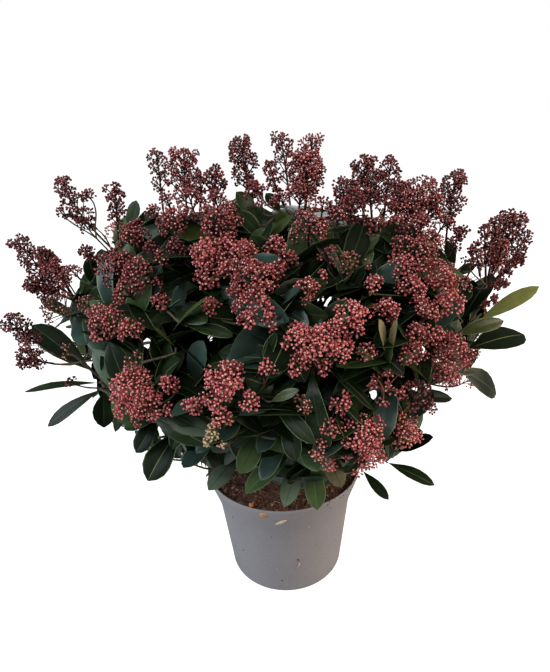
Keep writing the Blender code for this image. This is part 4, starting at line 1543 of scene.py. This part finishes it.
# ------------------------------------------------------------------ pot
def plastic_material():
    """Grey recycled plastic: faintly mottled, fine scuffs."""
    m, tree, s = nodes_of("grey_pot_plastic")
    where = coords(tree)
    wide = noise_node(tree, where, 9.0, 5.0, 0.6)
    fine = noise_node(tree, where, 240.0, 3.0, 0.6)
    first = ramp(tree, wide, (
        (0.30, (0.275, 0.262, 0.276)), (0.70, (0.315, 0.300, 0.312)),
    ))
    speck = ramp(tree, fine, ((0.28, (0.86, 0.86, 0.86)), (0.52, (1.0, 1.0, 1.0))))
    mix = tree.nodes.new("ShaderNodeMix")
    mix.data_type = "RGBA"
    mix.blend_type = "MULTIPLY"
    mix.inputs["Factor"].default_value = 0.7
    tree.links.new(first, mix.inputs["A"])
    tree.links.new(speck, mix.inputs["B"])
    tree.links.new(mix.outputs["Result"], s.inputs["Base Color"])
    s.inputs["Roughness"].default_value = 0.50
    s.inputs["Specular IOR Level"].default_value = 0.4
    bump(tree, s, noise_node(tree, where, 420.0, 3.0), 0.18, 0.0004)
    return m


POT_MAT = plastic_material()
POT_H, RIM_R, COLLAR_H = 0.189, 0.1200, 0.0300
SHOULDER_R, BASE_R, FOOT_R, WALL, FLOOR_T = 0.1045, 0.0905, 0.0120, 0.0026, 0.0032


def outer_wall(z):
    """The pot's outside: a body of little taper, and a collar that opens like
    a funnel and meets it in a soft bend."""
    body = BASE_R + (SHOULDER_R - BASE_R) * (z - FOOT_R) / (0.1395 - FOOT_R)
    collar = SHOULDER_R + 0.0004 + (RIM_R - 0.0007 - SHOULDER_R) * (z - 0.1385) / 0.0445
    collar = min(collar, RIM_R - 0.0003)
    blend = 0.0011
    return body + blend * math.log1p(math.exp((collar - body) / blend))


def pot_profile():
    pts = [(0.0, FLOOR_T)]
    under = BASE_R - FOOT_R
    for a in np.linspace(-88, 0, 7):
        r = FOOT_R - WALL
        pts.append((under + r * math.cos(math.radians(a)), FOOT_R + r * math.sin(math.radians(a))))
    for z in np.linspace(0.1330, 0.1760, 9):
        pts.append((outer_wall(z) - WALL, z))
    lip = WALL / 2
    pts.append((RIM_R - WALL, POT_H - lip - 0.004))
    for a in np.linspace(180, 0, 9):
        pts.append((RIM_R - lip + lip * math.cos(math.radians(a)), POT_H - lip + lip * math.sin(math.radians(a))))
    for z in np.linspace(POT_H - 0.006, 0.120, 30):
        pts.append((min(outer_wall(z), RIM_R - 0.0002), z))
    for t in np.linspace(0.14, 1, 9):
        z = 0.120 + (FOOT_R - 0.120) * t
        pts.append((BASE_R + (SHOULDER_R - BASE_R) * (z - FOOT_R) / (0.1395 - FOOT_R), z))
    for a in np.linspace(0, -90, 10)[1:]:
        pts.append((under + FOOT_R * math.cos(math.radians(a)), FOOT_R + FOOT_R * math.sin(math.radians(a))))
    pts.append((0.0, 0.0))
    return pts


def lathe(points, sides, wobble=0.0):
    rings = len(points)
    verts, faces = [], []
    for i, (r, z) in enumerate(points):
        for j in range(sides):
            a = 2 * math.pi * j / sides
            k = r
            if r > 0.02 and z > 0.02:
                k += wobble * math.sin(2 * a + 1.1) * z / POT_H
                k += wobble * 0.4 * math.sin(5 * a + 0.3 + 20 * z)
            verts.append((k * math.cos(a), k * math.sin(a), z))
    for i in range(rings - 1):
        for j in range(sides):
            a, b = i * sides + j, i * sides + (j + 1) % sides
            faces.append((a, b, b + sides, a + sides))
    return np.array(verts), np.array(faces)


def turned(name, points, sides, mats, wobble):
    """A turned shape whose two ends close on the axis."""
    v, f = lathe(points, sides, wobble)
    obj = make_object(name, v, f, mats)
    import_bm = bpy.data.meshes.new(name)
    bm = bmesh.new()
    bm.from_mesh(obj.data)
    bmesh.ops.remove_doubles(bm, verts=bm.verts, dist=1e-5)
    bmesh.ops.recalc_face_normals(bm, faces=bm.faces)
    bm.to_mesh(import_bm)
    bm.free()
    for m in mats:
        import_bm.materials.append(m)
    import_bm.polygons.foreach_set("use_smooth", np.ones(len(import_bm.polygons), bool))
    obj.data = import_bm
    return obj


import bmesh

pot_obj = turned("pot_shell", pot_profile(), 160, [POT_MAT], 0.0004)

# ------------------------------------------------------------------ soil
def soil_material(name, dark, light, scale):
    m, tree, s = nodes_of(name)
    where = coords(tree)
    fac = noise_node(tree, where, scale, 8.0, 0.75)
    tree.links.new(ramp(tree, fac, ((0.34, dark), (0.54, light), (0.72, scaled(light, 1.9)))), s.inputs["Base Color"])
    s.inputs["Roughness"].default_value = 0.95
    s.inputs["Specular IOR Level"].default_value = 0.2
    bump(tree, s, noise_node(tree, where, scale * 3, 6.0, 0.8), 0.9, 0.0012)
    return m


SOIL_MAT = soil_material("damp_fibrous_mix", (0.028, 0.015, 0.011), (0.150, 0.076, 0.053), 130.0)
FIBRES = [
    soil_material("fibre_dark", (0.030, 0.015, 0.011), (0.110, 0.052, 0.036), 200.0),
    soil_material("fibre_red", (0.140, 0.056, 0.034), (0.320, 0.150, 0.092), 200.0),
    soil_material("fibre_gold", (0.280, 0.135, 0.075), (0.560, 0.330, 0.200), 200.0),
]
SOIL_TOP = 0.1836


def soil_height(x, y):
    p = Vector((x * 22, y * 22, 4.0))
    q = Vector((x * 85, y * 85, 9.0))
    s = Vector((x * 230, y * 230, 2.0))
    h = SOIL_TOP + 0.0030 * noise.noise(p) + 0.0022 * noise.noise(q) + 0.0012 * noise.noise(s)
    r = math.hypot(x, y)
    if r < 0.024:
        h = h * (r / 0.024) + (SOIL_TOP + 0.0004) * (1 - r / 0.024)
    if r > 0.108:
        h -= 0.0015 * (r - 0.108) / 0.009
    return h


sides, rings = 132, 46
verts, faces = [], []
radii = list(np.linspace(0.0, 0.1168, rings))
for r in radii:
    for j in range(sides):
        a = 2 * math.pi * j / sides
        x, y = r * math.cos(a), r * math.sin(a)
        verts.append((x, y, soil_height(x, y)))
for r, z in ((0.1146, 0.1765), (0.1008, 0.1360), (0.0872, 0.013), (0.0778, 0.0036), (0.0, 0.0036)):
    for j in range(sides):
        a = 2 * math.pi * j / sides
        verts.append((r * math.cos(a), r * math.sin(a), z))
for i in range(rings + 4):
    for j in range(sides):
        a, b = i * sides + j, i * sides + (j + 1) % sides
        faces.append((a, a + sides, b + sides, b))
soil_obj = make_object("soil_surface", verts, faces, [SOIL_MAT])
bm = bmesh.new()
bm.from_mesh(soil_obj.data)
bmesh.ops.remove_doubles(bm, verts=bm.verts, dist=1e-6)
bmesh.ops.recalc_face_normals(bm, faces=bm.faces)
bm.to_mesh(soil_obj.data)
bm.free()

fibre_parts = []
for _ in range(1900):
    r = 0.1165 * math.sqrt(rng.random())
    a = rng.uniform(0, 2 * math.pi)
    x, y = r * math.cos(a), r * math.sin(a)
    if math.hypot(x - 0.002, y) < 0.017:
        continue
    long = rng.uniform(0.003, 0.013)
    heading = rng.uniform(0, 2 * math.pi)
    tilt = rng.normal(0, 0.22)
    d = np.array([math.cos(heading) * math.cos(tilt), math.sin(heading) * math.cos(tilt), math.sin(tilt)])
    mid = np.array([x, y, soil_height(x, y) + 0.0004])
    ends = [mid - d * long / 2, mid + d * long / 2]
    if any(math.hypot(e[0], e[1]) > 0.1168 for e in ends):
        continue
    bow = mid + np.array([0, 0, rng.uniform(0, 0.0008)])
    w = rng.uniform(0.00028, 0.00080)
    v, f = tube_mesh([ends[0], bow, ends[1]], [w * 0.7, w, w * 0.5], 3)
    fibre_parts.append((v, f, pick(((0, 0.46), (1, 0.40), (2, 0.14)))))
for _ in range(600):
    r = 0.1150 * math.sqrt(rng.random())
    a = rng.uniform(0, 2 * math.pi)
    x, y = r * math.cos(a), r * math.sin(a)
    size = rng.uniform(0.0008, 0.0026)
    p = np.array([x, y, soil_height(x, y) + size * 0.25])
    d = unit(rng.normal(0, 1, 3))
    v, f = tube_mesh([p - d * size, p, p + d * size * 0.8], [size * 0.45, size, size * 0.4], 5)
    v = v + rng.normal(0, size * 0.12, v.shape)
    fibre_parts.append((v, f, pick(((0, 0.62), (1, 0.33), (2, 0.05)))))
v, f, m = join(fibre_parts)
fibre_obj = make_object("soil_fibres", v, f, FIBRES, m)

# ------------------------------------------------------------------ bits on the pot
BEAD = bud_material("bead_orange", (0.520, 0.190, 0.060), 0.4, 0.15)
HUSK = bud_material("husk_cream", (0.700, 0.540, 0.420), 0.7, 0.10)
DUST = bud_material("grit_dark", (0.045, 0.040, 0.040), 0.9, 0.10)
RING = bud_material("bead_ring", (0.560, 0.330, 0.200), 0.6, 0.12)


def pot_radius(z):
    pts = [(r, h) for r, h in pot_profile() if r > 0.05]
    outer = pts[len(pts) // 2 - 8:]
    hs = np.array([h for _, h in outer])
    rs = np.array([r for r, _ in outer])
    order = np.argsort(hs)
    return float(np.interp(z, hs[order], rs[order]))


def on_pot(u, v):
    """The point of the pot's outside that shows at u, v."""
    d = ray(u, v)
    for t in np.linspace(0.4, 1.2, 3200):
        p = EYE + d * t
        if 0 < p[2] < POT_H and math.hypot(p[0], p[1]) <= pot_radius(p[2]):
            return p, unit([p[0], p[1], 0.0])
    raise ValueError("nothing of the pot shows there")


bit_parts = []


def lump(u, v, long, wide, angle, mat, thick=0.6):
    p, out = on_pot(u, v)
    side = unit(np.cross([0, 0, 1.0], out))
    up = np.cross(out, side)
    d = side * math.cos(angle) + up * math.sin(angle)
    p = p + out * wide * 0.15
    ends = [p - d * long / 2, p - d * long * 0.2 + out * wide * 0.2, p + d * long * 0.2 + out * wide * 0.2, p + d * long / 2]
    v_, f_ = tube_mesh(ends, [wide * 0.22, wide * 0.5, wide * 0.46, wide * 0.12], 8)
    flat = (v_ - p) @ out
    v_ = v_ - np.outer(flat * (1 - thick), out)
    bit_parts.append((v_, f_, mat))


def ball(u, v, radius, mat, proud=0.45):
    p, out = on_pot(u, v)
    p = p + out * radius * proud
    side = unit(np.cross([0, 0, 1.0], out))
    up = np.cross(out, side)
    vs, fs = [], []
    n, m_ = 8, 14
    for i in range(n + 1):
        a = math.pi * i / n
        for j in range(m_):
            b = 2 * math.pi * j / m_
            vs.append(p + radius * (out * 0.8 * math.cos(a) + (side * math.cos(b) + up * math.sin(b)) * math.sin(a)))
    for i in range(n):
        for j in range(m_):
            a, b = i * m_ + j, i * m_ + (j + 1) % m_
            fs += [(a, a + m_, b + m_), (a, b + m_, b)]
    bit_parts.append((np.array(vs), np.array(fs), mat))


ball(263.2, 514.2, 0.0052, 4, 0.05)
ball(263.4, 514.4, 0.0038, 0, 0.55)
ball(251.5, 504.5, 0.0036, 0, 0.35)
lump(281.3, 521.8, 0.0180, 0.0052, 0.46, 1, 0.35)
lump(298, 566, 0.0085, 0.0022, 0.85, 4)
lump(299, 561.5, 0.0060, 0.0016, -0.9, 0)
lump(296.5, 569, 0.0050, 0.0014, -0.5, 0)
ball(298.0, 559.5, 0.0014, 2)
ball(299.5, 564.0, 0.0011, 1)
for u, v, r, mat in ((221, 500, 6, 2), (233, 517, 7, 2), (235.5, 545.6, 7, 2), (243.6, 550, 7, 2),
                     (271, 537, 6, 2), (282, 580.6, 8, 2), (330.6, 508, 5, 2), (331, 568.6, 6, 2),
                     (308.6, 527, 6, 1), (277, 569, 5, 1), (280, 586, 5, 2), (240, 531, 4, 2),
                     (316, 545, 4, 2), (262, 556, 4, 2), (296, 531, 3, 2), (335, 540, 4, 2)):
    ball(u, v, r * 0.00013, mat, 0.3)
for k in range(26):
    a = math.radians(rng.uniform(-62, -28))
    z = POT_H - rng.uniform(0.000, 0.007)
    rr = RIM_R - WALL * 0.5 + rng.uniform(-0.001, 0.0014)
    p = np.array([rr * math.cos(a), rr * math.sin(a), z + 0.0012 if z > POT_H - 0.002 else z])
    d = unit(rng.normal(0, 1, 3))
    s_ = rng.uniform(0.0006, 0.0015)
    v_, f_ = tube_mesh([p - d * s_, p, p + d * s_], [s_ * 0.4, s_ * 0.8, s_ * 0.3], 5)
    bit_parts.append((v_, f_, 3))
v, f, m = join(bit_parts)
bits_obj = make_object("bits_on_pot", v, f, [BEAD, HUSK, DUST, FIBRES[0], RING], m)

# ------------------------------------------------------------------ riding and standing for
MASSES = sorted(n for n in RECORD_NODES if n.startswith("mass_"))
for obj, t in pieces:
    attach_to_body(obj, "root")
    names = [n for n in MASSES if tier(n) == t]
    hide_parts(*names)
for obj, t in bud_pieces + stalk_pieces:
    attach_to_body(obj, "root")
    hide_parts(*[n for n in MASSES if tier(n) == t])
for obj, names, slot in (
    (bough_obj, [n for n in RECORD_NODES if n.startswith("bough_")], "bark"),
    (twig_obj, MASSES, "bark"),
    (stem_obj, ["stem_base"], "bark"),
    (pot_obj, ["pot"], "pot_plastic"),
    (soil_obj, ["soil"], "soil"),
    (fibre_obj, ["soil"], "soil"),
):
    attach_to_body(obj, "root")
    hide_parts(*names)
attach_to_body(bits_obj, "root")

# ------------------------------------------------------------------ floor, light, camera
def pale(name, colour):
    m, tree, s = nodes_of(name)
    where = coords(tree)
    fac = noise_node(tree, where, 1.5, 2.0)
    tree.links.new(ramp(tree, fac, ((0.3, scaled(colour, 0.99)), (0.7, colour))), s.inputs["Base Color"])
    s.inputs["Roughness"].default_value = 0.9
    s.inputs["Specular IOR Level"].default_value = 0.1
    return m


floor_mesh = bpy.data.meshes.new("floor")
bm = bmesh.new()
bmesh.ops.create_circle(bm, cap_ends=True, segments=64, radius=9.0)
bm.to_mesh(floor_mesh)
bm.free()
FLOOR_MAT = pale("pale_floor", (0.50, 0.50, 0.50))
ft = FLOOR_MAT.node_tree
glow = ft.nodes.new("ShaderNodeEmission")
glow.inputs["Color"].default_value = (1.0, 1.0, 1.0, 1.0)
glow.inputs["Strength"].default_value = 0.95
both = ft.nodes.new("ShaderNodeAddShader")
seen = ft.nodes.new("ShaderNodeLightPath")
choose = ft.nodes.new("ShaderNodeMixShader")
lit = ft.nodes["Principled BSDF"].outputs["BSDF"]
ft.links.new(lit, both.inputs[0])
ft.links.new(glow.outputs["Emission"], both.inputs[1])
ft.links.new(seen.outputs["Is Camera Ray"], choose.inputs["Fac"])
ft.links.new(lit, choose.inputs[1])
ft.links.new(both.outputs["Shader"], choose.inputs[2])
ft.links.new(choose.outputs["Shader"], ft.nodes["Material Output"].inputs["Surface"])
floor_mesh.materials.append(FLOOR_MAT)
floor = bpy.data.objects.new("floor", floor_mesh)
floor.location = (0, 0, -0.0005)
bpy.context.scene.collection.objects.link(floor)
floor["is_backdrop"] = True

world = bpy.data.worlds.new("studio")
bpy.context.scene.world = world
world.use_nodes = True
wt = world.node_tree
back = wt.nodes["Background"]
back.inputs["Color"].default_value = (0.96, 0.98, 1.0, 1.0)
back.inputs["Strength"].default_value = 0.16
plain = wt.nodes.new("ShaderNodeBackground")
plain.inputs["Color"].default_value = (1.0, 1.0, 1.0, 1.0)
plain.inputs["Strength"].default_value = 1.0
path = wt.nodes.new("ShaderNodeLightPath")
mixer = wt.nodes.new("ShaderNodeMixShader")
wt.links.new(path.outputs["Is Camera Ray"], mixer.inputs["Fac"])
wt.links.new(back.outputs["Background"], mixer.inputs[1])
wt.links.new(plain.outputs["Background"], mixer.inputs[2])
wt.links.new(mixer.outputs["Shader"], wt.nodes["World Output"].inputs["Surface"])


def softbox(name, where, at, size, power, colour):
    light = bpy.data.lights.new(name, "AREA")
    light.shape = "DISK"
    light.size = size
    light.energy = power
    light.color = colour
    obj = bpy.data.objects.new(name, light)
    obj.location = where
    obj.rotation_euler = (Vector(at) - Vector(where)).to_track_quat("-Z", "Y").to_euler()
    bpy.context.scene.collection.objects.link(obj)
    return obj


softbox("cool_left", (-2.3, -0.9, 1.5), (0, 0, 0.30), 1.8, 56.0, (0.80, 0.90, 1.0))
softbox("warm_right", (2.3, -0.5, 1.1), (0, 0, 0.30), 1.8, 54.0, (1.0, 0.83, 0.68))
softbox("front_top", (-0.3, -1.6, 2.4), (0, 0, 0.45), 1.2, 15.0, (1.0, 0.97, 0.94))
softbox("overhead", (0.0, 0.9, 2.8), (0, 0, 0.3), 1.6, 13.0, (1.0, 0.99, 0.97))
softbox("back_fill", (0.2, 2.4, 1.2), (0, 0, 0.35), 1.4, 12.0, (1.0, 1.0, 1.0))

cam_data = bpy.data.cameras.new("camera")
cam_data.sensor_width = 36.0
cam_data.sensor_height = 36.0
cam_data.sensor_fit = "AUTO"
cam_data.lens = FOCAL * 36.0 / VIEW_H
cam_data.clip_start = 0.01
cam_data.clip_end = 60.0
camera = bpy.data.objects.new("camera", cam_data)
bpy.context.scene.collection.objects.link(camera)
rot = Matrix((RIGHT.tolist(), UP.tolist(), (-AHEAD).tolist())).transposed().to_4x4()
rot.translation = Vector(EYE.tolist())
camera.matrix_world = rot
bpy.context.scene.camera = camera
bpy.context.scene.view_settings.view_transform = "Standard"

total = sum(len(o.data.polygons) * (2 if len(o.data.polygons) and o.data.polygons[0].loop_total == 4 else 1)
            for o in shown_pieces() if o.type == "MESH")
print("triangles about", total)
